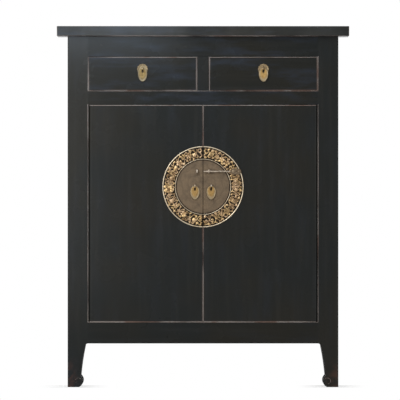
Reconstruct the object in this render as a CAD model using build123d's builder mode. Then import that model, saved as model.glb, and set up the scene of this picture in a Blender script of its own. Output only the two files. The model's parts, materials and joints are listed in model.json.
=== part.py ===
from build123d import *
import os

# A tall lacquered cabinet: a mitred top on four posts with hoof feet, two drawers over two doors that turn on
# wooden pivots, and a round brass lock plate split between the doors. Millimetres, +Z up, front towards -Y,
# origin on the floor below the middle of the top.

# ------------------------------------------------------------------ driving dimensions

# Body, and the top that reaches past it
body_width = 900.0
body_depth = 420.0
top_thickness = 33.0
side_overhang = 36.0
front_overhang = 30.0
back_overhang = 10.0

# Heights of the front, from the floor up
leg_height = 145.0
bottom_rail_height = 71.0
door_opening_height = 723.0
middle_rail_height = 46.0
drawer_opening_height = 114.0
top_rail_height = 68.0

# Posts and their hoof feet; "across" is along the front, "along" is from front to back
post_across = 68.0
post_along = 52.0
leg_across = 58.0
leg_along = 44.0
waist_across = 43.5
waist_along = 33.0
toe_across = 50.5
toe_along = 40.0
sole_across = 37.0
sole_along = 26.0
waist_height = 38.0
toe_height = 15.0
leg_bow = 1.5
post_arris = 2.5

# Rails, panels and their joints
front_rail_depth = 40.0
side_rail_thickness = 26.0
divider_width = 40.0
tenon_length = 30.0
tenon_thickness = 10.0
tenon_shoulder = 10.0
joint_gap = 0.2
panel_thickness = 10.0
panel_recess = 8.0
panel_tongue = 8.0
groove_spare = 0.5
rail_arris = 1.2

# Top frame
top_member_width = 75.0
top_panel_thickness = 18.0
top_tongue_thickness = 8.0
top_tenon_side = 24.0
top_tenon_length = 18.0
top_arris = 2.0
batten_width = 40.0
batten_spacing = 330.0
batten_neck = 26.0
batten_tail = 34.0
batten_dovetail = 5.0
batten_tenon = 12.0

# Floor and shelf
floor_thickness = 16.0
floor_above_rail = 6.0
floor_front = 28.0
floor_ledge = 6.0
shelf_thickness = 16.0
shelf_height = 590.0
shelf_setback = 60.0
cleat_width = 22.0
cleat_height = 28.0
board_gap = 0.5

# Drawers and their runners
drawer_gap = 1.5
drawer_end_room = 14.0
drawer_front_thickness = 20.0
drawer_side_thickness = 12.0
drawer_side_height = 98.0
drawer_back_drop = 8.0
drawer_tails = 3
tail_length = 12.0
tail_root_width = 16.0
tail_tip_width = 22.0
drawer_bottom_thickness = 6.0
drawer_bottom_rise = 8.0
drawer_groove = 5.0
slide_clearance = 0.3
runner_ledge = 26.0
runner_guide = 22.0
runner_thickness = 20.0
guide_height = 30.0

# Doors
door_gap = 1.5
door_seam = 2.0
door_thickness = 22.0
door_arris = 1.2
pivot_stile_width = 60.0
pivot_radius = 6.0
pivot_clearance = 0.05
pivot_from_edge = 11.0
pivot_from_face = 9.0
pivot_top_length = 12.0
pivot_bottom_length = 10.0
pivot_end_gap = 0.3
stile_rounding = 9.0
door_tongue = 8.0
door_batten_height = 44.0
door_batten_tail = 38.0
door_batten_proud = 14.0
door_batten_dovetail = 4.0
door_batten_inset = 114.0
door_batten_end = 40.0

# Round lock plate
plate_above_opening = 450.0
disc_radius = 90.0
disc_thickness = 1.5
ring_radius = 135.0
ring_gap = 0.3
ring_thickness = 2.0
outer_rim_width = 4.0
inner_rim_width = 3.0
rim_height = 3.6
ornament_height = 4.4
ornament_cells = 20
blossom_radius = 8.0
petal_radius = 3.6
petal_count = 5
petal_sides = 6
leaf_length = 24.0
leaf_width = 7.0
leaf_belly = 9.0
leaf_lean = 28.0
piercing_radius = 3.0
piercing_sides = 4

# Pulls: a hanging leaf on an eye bent from two layers of strap, whose ends are its shank
eye_radius = 5.5
strap_width = 3.2
strap_thickness = 3.0
eye_standoff = 6.0
shank_gap = 0.1
clinch_length = 22.0
clinch_width = 5.0
clinch_thickness = 1.2
leaf_pull_length = 44.0
leaf_pull_width = 31.0
leaf_pull_thickness = 2.2
leaf_pull_crown = 2.2
leaf_widest_drop = 17.5
leaf_flank_width = 19.4
leaf_flank_drop = 34.0
leaf_tip_width = 7.0
leaf_tip_rise = 1.0
leaf_hole_gap = 0.3
leaf_hole_drop = 3.5
leaf_hole_wide = 3.0
door_pull_offset = 27.0
door_pull_rise = 1.0
drawer_pull_rise = 17.0
rosette_radius = 18.2
rosette_lobe = 4.4
rosette_lobe_sides = 6
rosette_lobes = 12
rosette_thickness = 1.5
rosette_drop = 2.0

# Lock pin and its staples
pin_radius = 2.5
pin_standoff = 8.0
pin_rise = 51.0
pin_tip_from_seam = 0.5
pin_tip_chamfer = 1.2
pin_locked_reach = 65.5
pin_shoulder_gap = 0.5
pin_head_length = 38.0
pin_head_height = 20.0
pin_head_thickness = 3.0
pin_head_neck = 5.0
pin_neck_height = 14.0
pin_head_widest = 15.0
pin_head_direction = (1, 0.6)
pin_head_end_direction = (0.2, -1)
pin_head_notch = 3.0
pin_head_hole = 1.6
pin_head_hole_reach = 23.5
staple_width = 5.0
staple_outside = 12.0
staple_eye = 7.0
pin_seat_gap = 0.3
staple_left_x = -20.0
staple_right_x = 19.0

# ------------------------------------------------------------------ levels and faces

top_width = body_width + 2 * side_overhang
top_depth = body_depth + front_overhang + back_overhang
front_y = -top_depth / 2 + front_overhang
back_y = front_y + body_depth
side_x = body_width / 2
post_inner_x = side_x - post_across
post_front_back_y = front_y + post_along
post_back_front_y = back_y - post_along

opening_low = leg_height + bottom_rail_height
opening_high = opening_low + door_opening_height
drawer_low = opening_high + middle_rail_height
drawer_high = drawer_low + drawer_opening_height
body_top = drawer_high + top_rail_height
cabinet_height = body_top + top_thickness

bottom_level = (leg_height, opening_low)
middle_level = (opening_high, drawer_low)
top_level = (drawer_high, body_top)
front_levels = {"bottom": bottom_level, "middle": middle_level, "top": top_level}
side_levels = {"bottom": bottom_level, "top": top_level}

front_rail_back_y = front_y + front_rail_depth
front_tenon_y = front_y + front_rail_depth / 2
side_rail_inner_x = side_x - side_rail_thickness
back_rail_front_y = back_y - side_rail_thickness
side_panel_x = (side_x - panel_recess - panel_thickness, side_x - panel_recess)
back_panel_y = (back_y - panel_recess - panel_thickness, back_y - panel_recess)
floor_low = opening_low + floor_above_rail - floor_thickness
floor_front_y = front_y + floor_front
sides = {"left": -1, "right": 1}


def span(first, second):
    """Limits in rising order, so that one formula serves the left and the right side."""
    return (min(first, second), max(first, second))


def grown(limits, spare):
    return (limits[0] - spare, limits[1] + spare)


def timber(x, y, z, mode=Mode.ADD):
    """A straight length of timber between limits on each axis, added to or cut from the part in hand."""
    with BuildSketch(Plane.XY.offset(z[0])) as section:
        with Locations(((x[0] + x[1]) / 2, (y[0] + y[1]) / 2)):
            Rectangle(x[1] - x[0], y[1] - y[0])
    extrude(section.sketch, amount=z[1] - z[0], mode=mode)


def mortise(tenon):
    """The socket for a tenon, larger by the glue gap all round."""
    x, y, z = tenon
    timber(grown(x, joint_gap), grown(y, joint_gap), grown(z, joint_gap), Mode.SUBTRACT)


def save(piece, name):
    piece.part.label = name
    export_step(piece.part, f"parts/{name}.step")


os.makedirs("parts", exist_ok=True)

# ------------------------------------------------------------------ tenons, each used by rail and post alike


def front_tenon(side, level):
    return (
        span(side * post_inner_x, side * (post_inner_x + tenon_length)),
        (front_tenon_y - tenon_thickness / 2, front_tenon_y + tenon_thickness / 2),
        (level[0] + tenon_shoulder, level[1] - tenon_shoulder),
    )


def back_tenon(side, level):
    return (
        span(side * post_inner_x, side * (post_inner_x + tenon_length)),
        back_panel_y,
        (level[0] + tenon_shoulder, level[1] - tenon_shoulder),
    )


def side_tenon(side, end, level):
    """A side rail's tenon; end is -1 in the front post and 1 in the back post."""
    shoulder_y = post_front_back_y if end < 0 else post_back_front_y
    return (
        span(side * side_panel_x[0], side * side_panel_x[1]),
        span(shoulder_y, shoulder_y + end * tenon_length),
        (level[0] + tenon_shoulder, level[1] - tenon_shoulder),
    )


def top_tenon(side, end):
    centre_x = side * (side_x - post_across / 2)
    centre_y = front_y + post_along / 2 if end < 0 else back_y - post_along / 2
    half = top_tenon_side / 2
    return (
        (centre_x - half, centre_x + half),
        (centre_y - half, centre_y + half),
        (body_top, body_top + top_tenon_length),
    )


def side_panel_limits(side):
    return (
        span(side * side_panel_x[0], side * side_panel_x[1]),
        (post_front_back_y - panel_tongue, post_back_front_y + panel_tongue),
        (opening_low - panel_tongue, drawer_high + panel_tongue),
    )


def back_panel_limits(low, high):
    reach = post_inner_x + panel_tongue
    return ((-reach, reach), back_panel_y, (low - panel_tongue, high + panel_tongue))


def divider_tenon(end):
    """Stub tenon of the drawer divider; end is -1 at its foot and 1 at its head."""
    shoulder_z = drawer_low if end < 0 else drawer_high
    return (
        (-divider_width / 2 + tenon_shoulder, divider_width / 2 - tenon_shoulder),
        (front_tenon_y - tenon_thickness / 2, front_tenon_y + tenon_thickness / 2),
        span(shoulder_z, shoulder_z + end * tenon_length / 2),
    )


back_panels = {
    "lower": back_panel_limits(opening_low, opening_high),
    "upper": back_panel_limits(drawer_low, drawer_high),
}


def panel_groove(limits):
    """The groove that a panel's tongue stands in, with room for the panel to swell."""
    x, y, z = limits
    if x[1] - x[0] < y[1] - y[0]:
        timber(grown(x, joint_gap), grown(y, groove_spare), grown(z, groove_spare), Mode.SUBTRACT)
    else:
        timber(grown(x, groove_spare), grown(y, joint_gap), grown(z, groove_spare), Mode.SUBTRACT)


# ------------------------------------------------------------------ posts with hoof feet


def hoof_outline(full, leg, waist, toe, sole):
    """One face of a post: straight outside, and inside a cove, a tapering leg, a waist and a swelling toe."""
    cove = full - leg
    cove_z = leg_height - cove
    bow_z = (waist_height + cove_z) / 2
    with BuildSketch(mode=Mode.PRIVATE) as outline:
        with BuildLine():
            Line((0, body_top), (0, 0))
            Line((0, 0), (sole, 0))
            ThreePointArc((sole, 0), (toe, toe_height), (waist, waist_height))
            ThreePointArc((waist, waist_height), ((waist + leg) / 2 - leg_bow, bow_z), (leg, cove_z))
            TangentArc((leg, cove_z), (full, leg_height), tangent=(0, 1))
            Line((full, leg_height), (full, body_top))
            Line((full, body_top), (0, body_top))
        make_face()
    return outline.sketch


front_face_outline = hoof_outline(post_across, leg_across, waist_across, toe_across, sole_across)
side_face_outline = hoof_outline(post_along, leg_along, waist_along, toe_along, sole_along)

for side_name, side in sides.items():
    for end_name, end in {"front": -1, "back": 1}.items():
        outer_y = front_y if end < 0 else back_y
        across_plane = Plane(origin=(side * side_x, outer_y, 0), x_dir=(-side, 0, 0), z_dir=(0, side, 0))
        along_plane = Plane(origin=(side * side_x, outer_y, 0), x_dir=(0, -end, 0), z_dir=(-end, 0, 0))
        with BuildPart() as post:
            extrude(across_plane * front_face_outline, amount=post_along, both=True)
            extrude(along_plane * side_face_outline, amount=post_across, both=True, mode=Mode.INTERSECT)
            outer_corner = (side * side_x, outer_y, body_top / 2)
            fillet(post.edges().filter_by(Axis.Z).sort_by_distance(outer_corner)[0], radius=post_arris)
            timber(*top_tenon(side, end))
            for level in side_levels.values():
                mortise(side_tenon(side, end, level))
            panel_groove(side_panel_limits(side))
            for level in front_levels.values():
                mortise(front_tenon(side, level) if end < 0 else back_tenon(side, level))
            if end > 0:
                for limits in back_panels.values():
                    panel_groove(limits)
        save(post, f"post_{end_name}_{side_name}")

# ------------------------------------------------------------------ front rails and drawer divider

pivot_x = post_inner_x - door_gap - pivot_from_edge
pivot_y = front_y + pivot_from_face


def pivot_socket(z_open, depth):
    """A round socket for a door pivot, drilled from z_open by depth, downwards where depth is negative."""
    with BuildSketch(Plane.XY.offset(z_open)) as mouths:
        with Locations((-pivot_x, pivot_y), (pivot_x, pivot_y)):
            Circle(pivot_radius + pivot_clearance)
    extrude(mouths.sketch, amount=depth, mode=Mode.SUBTRACT)


for rail_name, level in front_levels.items():
    with BuildPart() as rail:
        timber((-post_inner_x, post_inner_x), (front_y, front_rail_back_y), level)
        front_edges = rail.edges().filter_by(Axis.X).group_by(Axis.Y)[0]
        fillet(front_edges, radius=rail_arris)
        for side in sides.values():
            timber(*front_tenon(side, level))
        if rail_name == "bottom":
            ledge_z = (floor_low, opening_low)
            timber((-post_inner_x, post_inner_x), (floor_front_y, front_rail_back_y), ledge_z, Mode.SUBTRACT)
            pivot_socket(opening_low, -(pivot_bottom_length + pivot_end_gap))
        if rail_name == "middle":
            pivot_socket(opening_high, pivot_top_length + pivot_end_gap)
            mortise(divider_tenon(-1))
        if rail_name == "top":
            mortise(divider_tenon(1))
    save(rail, f"front_rail_{rail_name}")

with BuildPart() as drawer_divider:
    timber((-divider_width / 2, divider_width / 2), (front_y, front_rail_back_y), (drawer_low, drawer_high))
    fillet(drawer_divider.edges().filter_by(Axis.Z).group_by(Axis.Y)[0], radius=rail_arris)
    for end in (-1, 1):
        timber(*divider_tenon(end))
save(drawer_divider, "drawer_divider")

# ------------------------------------------------------------------ side frames

for side_name, side in sides.items():
    panel_limits = side_panel_limits(side)
    for rail_name, level in side_levels.items():
        with BuildPart() as side_rail:
            timber(
                span(side * side_rail_inner_x, side * side_x),
                (post_front_back_y, post_back_front_y),
                level,
            )
            outer_edges = side_rail.edges().filter_by(Axis.Y).group_by(Axis.X)[-1 if side > 0 else 0]
            fillet(outer_edges, radius=rail_arris)
            for end in (-1, 1):
                timber(*side_tenon(side, end, level))
            panel_groove(panel_limits)
            if rail_name == "bottom":
                ledge_x = span(side * side_rail_inner_x, side * (side_rail_inner_x + floor_ledge))
                ledge_y = (post_front_back_y, post_back_front_y)
                timber(ledge_x, ledge_y, (floor_low, opening_low), Mode.SUBTRACT)
        save(side_rail, f"side_rail_{rail_name}_{side_name}")

    with BuildPart() as side_panel:
        timber(*panel_limits)
    save(side_panel, f"side_panel_{side_name}")

# ------------------------------------------------------------------ back frame

for rail_name, level in front_levels.items():
    with BuildPart() as back_rail:
        timber((-post_inner_x, post_inner_x), (back_rail_front_y, back_y), level)
        fillet(back_rail.edges().filter_by(Axis.X).group_by(Axis.Y)[-1], radius=rail_arris)
        for side in sides.values():
            timber(*back_tenon(side, level))
        for limits in back_panels.values():
            panel_groove(limits)
        if rail_name == "bottom":
            ledge_y = (back_rail_front_y, back_rail_front_y + floor_ledge)
            timber((-post_inner_x, post_inner_x), ledge_y, (floor_low, opening_low), Mode.SUBTRACT)
    save(back_rail, f"back_rail_{rail_name}")

for panel_name, limits in back_panels.items():
    with BuildPart() as back_panel:
        timber(*limits)
    save(back_panel, f"back_panel_{panel_name}")

# ------------------------------------------------------------------ floor and shelf

floor_x = side_rail_inner_x + floor_ledge - board_gap
floor_y = (floor_front_y + board_gap, back_rail_front_y + floor_ledge - board_gap)
notch_x = post_inner_x - board_gap
with BuildPart() as floor_board:
    timber((-floor_x, floor_x), floor_y, (floor_low, floor_low + floor_thickness))
    for side in sides.values():
        corner_x = span(side * notch_x, side * side_x)
        full_height = (floor_low, floor_low + floor_thickness)
        timber(corner_x, (front_y, post_front_back_y + board_gap), full_height, Mode.SUBTRACT)
        timber(corner_x, (post_back_front_y - board_gap, back_y), full_height, Mode.SUBTRACT)
save(floor_board, "floor_board")

shelf_x = side_panel_x[0] - board_gap
shelf_level = (shelf_height, shelf_height + shelf_thickness)
with BuildPart() as shelf:
    timber((-shelf_x, shelf_x), (front_y + shelf_setback, back_panel_y[0] - board_gap), shelf_level)
    for side in sides.values():
        corner_x = span(side * notch_x, side * side_x)
        timber(corner_x, (post_back_front_y - board_gap, back_y), shelf_level, Mode.SUBTRACT)
save(shelf, "shelf")

with BuildPart() as shelf_cleats:
    for side in sides.values():
        timber(
            span(side * (side_panel_x[0] - cleat_width), side * side_panel_x[0]),
            (post_front_back_y, post_back_front_y),
            (shelf_height - cleat_height, shelf_height),
        )
save(shelf_cleats, "shelf_cleats")

# ------------------------------------------------------------------ drawer runners

runner_low = drawer_low - runner_thickness
with BuildPart() as drawer_runners:
    for side in sides.values():
        ledge_x = span(side * (post_inner_x - runner_ledge), side * post_inner_x)
        guide_x = span(side * post_inner_x, side * (post_inner_x + runner_guide))
        timber(ledge_x, (front_rail_back_y, back_rail_front_y), (runner_low, drawer_low))
        timber(guide_x, (post_front_back_y, post_back_front_y), (runner_low, drawer_low + guide_height))
    middle_ledge = divider_width / 2 + runner_ledge
    timber((-middle_ledge, middle_ledge), (front_rail_back_y, back_rail_front_y), (runner_low, drawer_low))
    timber(
        (-divider_width / 2, divider_width / 2),
        (front_rail_back_y, back_rail_front_y),
        (drawer_low, drawer_low + guide_height),
    )
save(drawer_runners, "drawer_runners")

# ------------------------------------------------------------------ mitred top with a floating panel

top_x = top_width / 2
top_y = top_depth / 2
inner_top_x = top_x - top_member_width
inner_top_y = top_y - top_member_width
tongue_low = cabinet_height - top_panel_thickness / 2 - top_tongue_thickness / 2
tongue_level = (tongue_low, tongue_low + top_tongue_thickness)
panel_level = (cabinet_height - top_panel_thickness, cabinet_height)
panel_x = inner_top_x - board_gap
panel_y = inner_top_y - board_gap
groove_limits = (
    (-inner_top_x - panel_tongue - groove_spare, inner_top_x + panel_tongue + groove_spare),
    (-inner_top_y - panel_tongue - groove_spare, inner_top_y + panel_tongue + groove_spare),
    grown(tongue_level, joint_gap),
)
batten_places = (-batten_spacing / 2, batten_spacing / 2)


def batten_end_tenon(centre_x, end):
    shoulder_y = end * inner_top_y
    return (
        (centre_x - batten_neck / 2, centre_x + batten_neck / 2),
        span(shoulder_y, shoulder_y + end * batten_tenon),
        (body_top + batten_dovetail, panel_level[0]),
    )


def batten_section(reach, spare):
    """Dovetail on a batten's upper face, seen from the front at the end of its run, reach from the middle."""
    low = panel_level[0]
    high = low + batten_dovetail
    with BuildSketch(Plane.XZ.offset(reach)) as tails:
        for centre_x in batten_places:
            with BuildLine():
                Polyline(
                    (centre_x - batten_neck / 2 - spare, low),
                    (centre_x + batten_neck / 2 + spare, low),
                    (centre_x + batten_tail / 2 + spare, high + spare),
                    (centre_x - batten_tail / 2 - spare, high + spare),
                    close=True,
                )
            make_face()
    return tails.sketch


def top_member(corners):
    with BuildSketch(Plane.XY.offset(body_top)) as plan:
        with BuildLine():
            Polyline(*corners, close=True)
        make_face()
    extrude(plan.sketch, amount=top_thickness)


for end_name, end in {"front": -1, "back": 1}.items():
    with BuildPart() as member:
        top_member(
            (
                (-top_x, end * top_y),
                (top_x, end * top_y),
                (inner_top_x, end * inner_top_y),
                (-inner_top_x, end * inner_top_y),
            )
        )
        fillet(member.edges().filter_by(Axis.X).group_by(Axis.Y)[0 if end < 0 else -1], radius=top_arris)
        timber(*groove_limits, mode=Mode.SUBTRACT)
        for side in sides.values():
            mortise(top_tenon(side, end))
        for centre_x in batten_places:
            mortise(batten_end_tenon(centre_x, end))
    save(member, f"top_frame_{end_name}")

for side_name, side in sides.items():
    with BuildPart() as member:
        top_member(
            (
                (side * top_x, -top_y),
                (side * top_x, top_y),
                (side * inner_top_x, inner_top_y),
                (side * inner_top_x, -inner_top_y),
            )
        )
        fillet(member.edges().filter_by(Axis.Y).group_by(Axis.X)[0 if side < 0 else -1], radius=top_arris)
        timber(*groove_limits, mode=Mode.SUBTRACT)
        for end in (-1, 1):
            mortise(top_tenon(side, end))
    save(member, f"top_frame_{side_name}")

with BuildPart() as top_panel:
    timber((-panel_x, panel_x), (-panel_y, panel_y), panel_level)
    timber(
        (-panel_x - panel_tongue, panel_x + panel_tongue),
        (-panel_y - panel_tongue, panel_y + panel_tongue),
        tongue_level,
    )
    extrude(batten_section(top_y, joint_gap), amount=-top_depth, mode=Mode.SUBTRACT)
save(top_panel, "top_panel")

with BuildPart() as top_battens:
    for centre_x in batten_places:
        width_limits = (centre_x - batten_width / 2, centre_x + batten_width / 2)
        timber(width_limits, (-inner_top_y, inner_top_y), (body_top, panel_level[0]))
        for end in (-1, 1):
            timber(*batten_end_tenon(centre_x, end))
    extrude(batten_section(panel_y, 0), amount=-2 * panel_y)
save(top_battens, "top_battens")

# ------------------------------------------------------------------ drawers

drawer_floor_low = drawer_low + slide_clearance + drawer_bottom_rise
drawer_floor_level = (drawer_floor_low, drawer_floor_low + drawer_bottom_thickness)
drawer_side_level = (drawer_low + slide_clearance, drawer_low + slide_clearance + drawer_side_height)
drawer_inner_y = front_y + drawer_front_thickness
drawer_end_y = back_rail_front_y - drawer_end_room
tail_pitch = drawer_side_height / drawer_tails


def drawer_x(side, from_outside):
    """Distance from the drawer's outer end towards the cabinet's middle, as an x."""
    return side * (post_inner_x - drawer_gap - from_outside)


drawer_width = post_inner_x - divider_width / 2 - 2 * drawer_gap
drawer_centre_x = drawer_width / 2 + divider_width / 2 + drawer_gap
drawer_floor_inset = drawer_side_thickness - drawer_groove
drawer_pull_z = (drawer_low + drawer_high) / 2 + drawer_pull_rise


def drawer_floor_limits(side, spare):
    floor_ends = span(drawer_x(side, drawer_floor_inset), drawer_x(side, drawer_width - drawer_floor_inset))
    return (
        grown(floor_ends, spare),
        (drawer_inner_y - drawer_groove - spare, drawer_end_y + spare),
        grown(drawer_floor_level, spare),
    )


def dovetails(side, from_outside, spare, mode):
    """Tails on the front end of a drawer side, as thick as the side, which stop inside the drawer front."""
    tip_y = drawer_inner_y - tail_length - spare
    with BuildSketch(Plane.YZ.offset(drawer_x(side, from_outside))) as tails:
        for number in range(drawer_tails):
            centre_z = drawer_side_level[0] + number * tail_pitch + tail_pitch / 2
            with BuildLine():
                Polyline(
                    (drawer_inner_y, centre_z - tail_root_width / 2 - spare),
                    (tip_y, centre_z - tail_tip_width / 2 - spare),
                    (tip_y, centre_z + tail_tip_width / 2 + spare),
                    (drawer_inner_y, centre_z + tail_root_width / 2 + spare),
                    close=True,
                )
            make_face()
    extrude(tails.sketch, amount=-side * drawer_side_thickness, mode=mode)


far_side = drawer_width - drawer_side_thickness
strap_corner = Vector(strap_width, strap_thickness).length / 2


def shank_hole(plane, places):
    """Round holes that the corners of the shanks just clear, right through the piece in hand."""
    with BuildSketch(plane) as holes:
        with Locations(*places):
            Circle(strap_corner + shank_gap)
    extrude(holes.sketch, amount=top_depth / 2, both=True, mode=Mode.SUBTRACT)


front_plane = Plane(origin=(0, front_y, 0), x_dir=(1, 0, 0), z_dir=(0, -1, 0))

for side_name, side in sides.items():
    with BuildPart() as drawer_front:
        timber(
            span(drawer_x(side, 0), drawer_x(side, drawer_width)),
            (front_y, drawer_inner_y),
            (drawer_low + drawer_gap, drawer_high - drawer_gap),
        )
        fillet(drawer_front.faces().sort_by(Axis.Y)[0].edges(), radius=rail_arris)
        for from_outside in (0, far_side):
            dovetails(side, from_outside, joint_gap, Mode.SUBTRACT)
        timber(*drawer_floor_limits(side, joint_gap), mode=Mode.SUBTRACT)
        shank_hole(front_plane, [(side * drawer_centre_x, drawer_pull_z)])
    save(drawer_front, f"drawer_{side_name}_front")

    for board_name, from_outside in {"outer_side": 0, "inner_side": far_side}.items():
        with BuildPart() as drawer_side:
            timber(
                span(drawer_x(side, from_outside), drawer_x(side, from_outside + drawer_side_thickness)),
                (drawer_inner_y, drawer_end_y),
                drawer_side_level,
            )
            dovetails(side, from_outside, 0, Mode.ADD)
            timber(*drawer_floor_limits(side, joint_gap), mode=Mode.SUBTRACT)
        save(drawer_side, f"drawer_{side_name}_{board_name}")

    with BuildPart() as drawer_back:
        timber(
            span(drawer_x(side, drawer_side_thickness), drawer_x(side, far_side)),
            (drawer_end_y - drawer_side_thickness, drawer_end_y),
            (drawer_floor_level[1] + joint_gap, drawer_side_level[1] - drawer_back_drop),
        )
    save(drawer_back, f"drawer_{side_name}_back")

    with BuildPart() as drawer_bottom:
        timber(*drawer_floor_limits(side, 0))
    save(drawer_bottom, f"drawer_{side_name}_bottom")

# ------------------------------------------------------------------ doors

door_level = (opening_low + door_gap, opening_high - door_gap)
door_back_y = front_y + door_thickness
door_hinge_x = post_inner_x - door_gap
stile_inner_x = door_hinge_x - pivot_stile_width
door_free_x = door_seam / 2
tongue_y = (front_y + door_thickness / 2 - door_tongue / 2, front_y + door_thickness / 2 + door_tongue / 2)
plate_z = opening_low + plate_above_opening
door_pull_z = plate_z + door_pull_rise
pin_z = plate_z + pin_rise
pin_y = front_y - disc_thickness - pin_standoff
# The pin lies on the lower side of each staple's eye.
staple_z = pin_z + staple_eye / 2 - pin_radius - pin_seat_gap
staple_places = {"left": staple_left_x, "right": staple_right_x}


def door_batten_section(spare):
    """Battens seen from the side: a dovetail let into the door's back, and a straight back."""
    with BuildSketch(Plane.YZ) as section:
        for centre_z in (opening_low + door_batten_inset, opening_high - door_batten_inset):
            with BuildLine():
                Polyline(
                    (door_back_y + door_batten_proud, centre_z - door_batten_tail / 2),
                    (door_back_y, centre_z - door_batten_tail / 2 - spare),
                    (door_back_y - door_batten_dovetail - spare, centre_z - door_batten_height / 2 - spare),
                    (door_back_y - door_batten_dovetail - spare, centre_z + door_batten_height / 2 + spare),
                    (door_back_y, centre_z + door_batten_tail / 2 + spare),
                    (door_back_y + door_batten_proud, centre_z + door_batten_tail / 2),
                    close=True,
                )
            make_face()
    return section.sketch


for side_name, side in sides.items():
    batten_from = Plane.YZ.offset(side * door_batten_end)
    batten_run = stile_inner_x - door_batten_end

    with BuildPart() as pivot_stile:
        timber(span(side * stile_inner_x, side * door_hinge_x), (front_y, door_back_y), door_level)
        front_edges = pivot_stile.edges().filter_by(Axis.Z).group_by(Axis.Y)[0]
        fillet(front_edges.sort_by(Axis.X)[-1 if side > 0 else 0], radius=stile_rounding)
        timber(
            span(side * (stile_inner_x - groove_spare), side * (stile_inner_x + door_tongue + groove_spare)),
            grown(tongue_y, joint_gap),
            door_level,
            Mode.SUBTRACT,
        )
        with BuildSketch(Plane.XY.offset(door_level[0])) as pivot_foot:
            with Locations((side * pivot_x, pivot_y)):
                Circle(pivot_radius)
        extrude(pivot_foot.sketch, amount=-(door_gap + pivot_bottom_length))
        with BuildSketch(Plane.XY.offset(door_level[1])) as pivot_head:
            with Locations((side * pivot_x, pivot_y)):
                Circle(pivot_radius)
        extrude(pivot_head.sketch, amount=door_gap + pivot_top_length)
    save(pivot_stile, f"door_{side_name}_pivot_stile")

    with BuildPart() as door_board:
        timber(span(side * door_free_x, side * stile_inner_x), (front_y, door_back_y), door_level)
        front_edges = door_board.edges().filter_by(Axis.Z).group_by(Axis.Y)[0]
        fillet(front_edges.sort_by(Axis.X)[0 if side > 0 else -1], radius=door_arris)
        timber(span(side * stile_inner_x, side * (stile_inner_x + door_tongue)), tongue_y, door_level)
        groove_run = side * (batten_run + door_tongue + groove_spare)
        groove_faces = Pos(side * door_batten_end, 0, 0) * door_batten_section(joint_gap)
        extrude(groove_faces, amount=groove_run, mode=Mode.SUBTRACT)
        shank_hole(
            front_plane,
            [(side * door_pull_offset, door_pull_z), (staple_places[side_name], staple_z)],
        )
    save(door_board, f"door_{side_name}_board")

    with BuildPart() as door_battens:
        batten_faces = Pos(side * (door_batten_end + groove_spare), 0, 0) * door_batten_section(0)
        extrude(batten_faces, amount=side * (batten_run - 2 * groove_spare))
    save(door_battens, f"door_{side_name}_battens")

# ------------------------------------------------------------------ round lock plate: disc and pierced ring

plate_plane = Plane(origin=(0, front_y, plate_z), x_dir=(1, 0, 0), z_dir=(0, -1, 0))
ring_inner_radius = disc_radius + ring_gap
ornament_radius = (ring_inner_radius + inner_rim_width + ring_radius - outer_rim_width) / 2
cell_angle = 360 / ornament_cells
half_cell = cell_angle / 2


def keep_half(side):
    """Cut the piece in hand at the seam and keep the half that rides on one door."""
    kept = Keep.TOP if side > 0 else Keep.BOTTOM
    split(bisect_by=Plane.YZ.offset(side * door_free_x), keep=kept)


def pointed_leaf():
    """A leaf of the relief, lying along X: two points and a long belly."""
    tip = leaf_length / 2
    edge = leaf_width / 2
    belly = leaf_belly / 2
    Polygon((-tip, 0), (-belly, -edge), (belly, -edge), (tip, 0), (belly, edge), (-belly, edge))


for side_name, side in sides.items():
    with BuildPart() as disc:
        with BuildSketch(plate_plane):
            Circle(disc_radius)
        extrude(amount=disc_thickness)
        shank_hole(
            front_plane,
            [(side * door_pull_offset, door_pull_z), (staple_places[side_name], staple_z)],
        )
        keep_half(side)
    save(disc, f"lock_disc_{side_name}")

    with BuildPart() as ring:
        with BuildSketch(plate_plane):
            Circle(ring_radius)
            Circle(ring_inner_radius, mode=Mode.SUBTRACT)
            for reach in (-blossom_radius - 2 * piercing_radius, blossom_radius + 2 * piercing_radius):
                with PolarLocations(ornament_radius + reach, ornament_cells, start_angle=half_cell):
                    RegularPolygon(piercing_radius, piercing_sides, mode=Mode.SUBTRACT)
        extrude(amount=ring_thickness)
        with BuildSketch(plate_plane):
            Circle(ring_radius)
            Circle(ring_radius - outer_rim_width, mode=Mode.SUBTRACT)
            Circle(ring_inner_radius + inner_rim_width)
            Circle(ring_inner_radius, mode=Mode.SUBTRACT)
        extrude(amount=rim_height)
        # Blossoms and leaning leaves stand above the band in turn.
        with BuildSketch(plate_plane):
            with PolarLocations(ornament_radius, ornament_cells // 2, start_angle=half_cell):
                with PolarLocations(blossom_radius - petal_radius, petal_count):
                    RegularPolygon(petal_radius, petal_sides)
            with PolarLocations(ornament_radius, ornament_cells // 2, start_angle=half_cell + cell_angle):
                with Locations(Rotation(0, 0, leaf_lean), Rotation(0, 0, -leaf_lean)):
                    pointed_leaf()
        extrude(amount=ornament_height)
        keep_half(side)
    save(ring, f"lock_ring_{side_name}")

# ------------------------------------------------------------------ eye bolts, leaf pulls and rosettes


def shank(x, z, from_y, seat_y):
    """A strap shank from the eye to the inside of the wood, its two ends clinched flat against the seat."""
    with BuildSketch(Plane(origin=(x, from_y, z), x_dir=(1, 0, 0), z_dir=(0, 1, 0))) as section:
        Rectangle(strap_width, strap_thickness)
    extrude(section.sketch, amount=seat_y - from_y)
    with BuildSketch(Plane(origin=(x, seat_y, z), x_dir=(1, 0, 0), z_dir=(0, 1, 0))) as ends:
        Rectangle(clinch_width, clinch_length)
    extrude(ends.sketch, amount=clinch_thickness)


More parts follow.
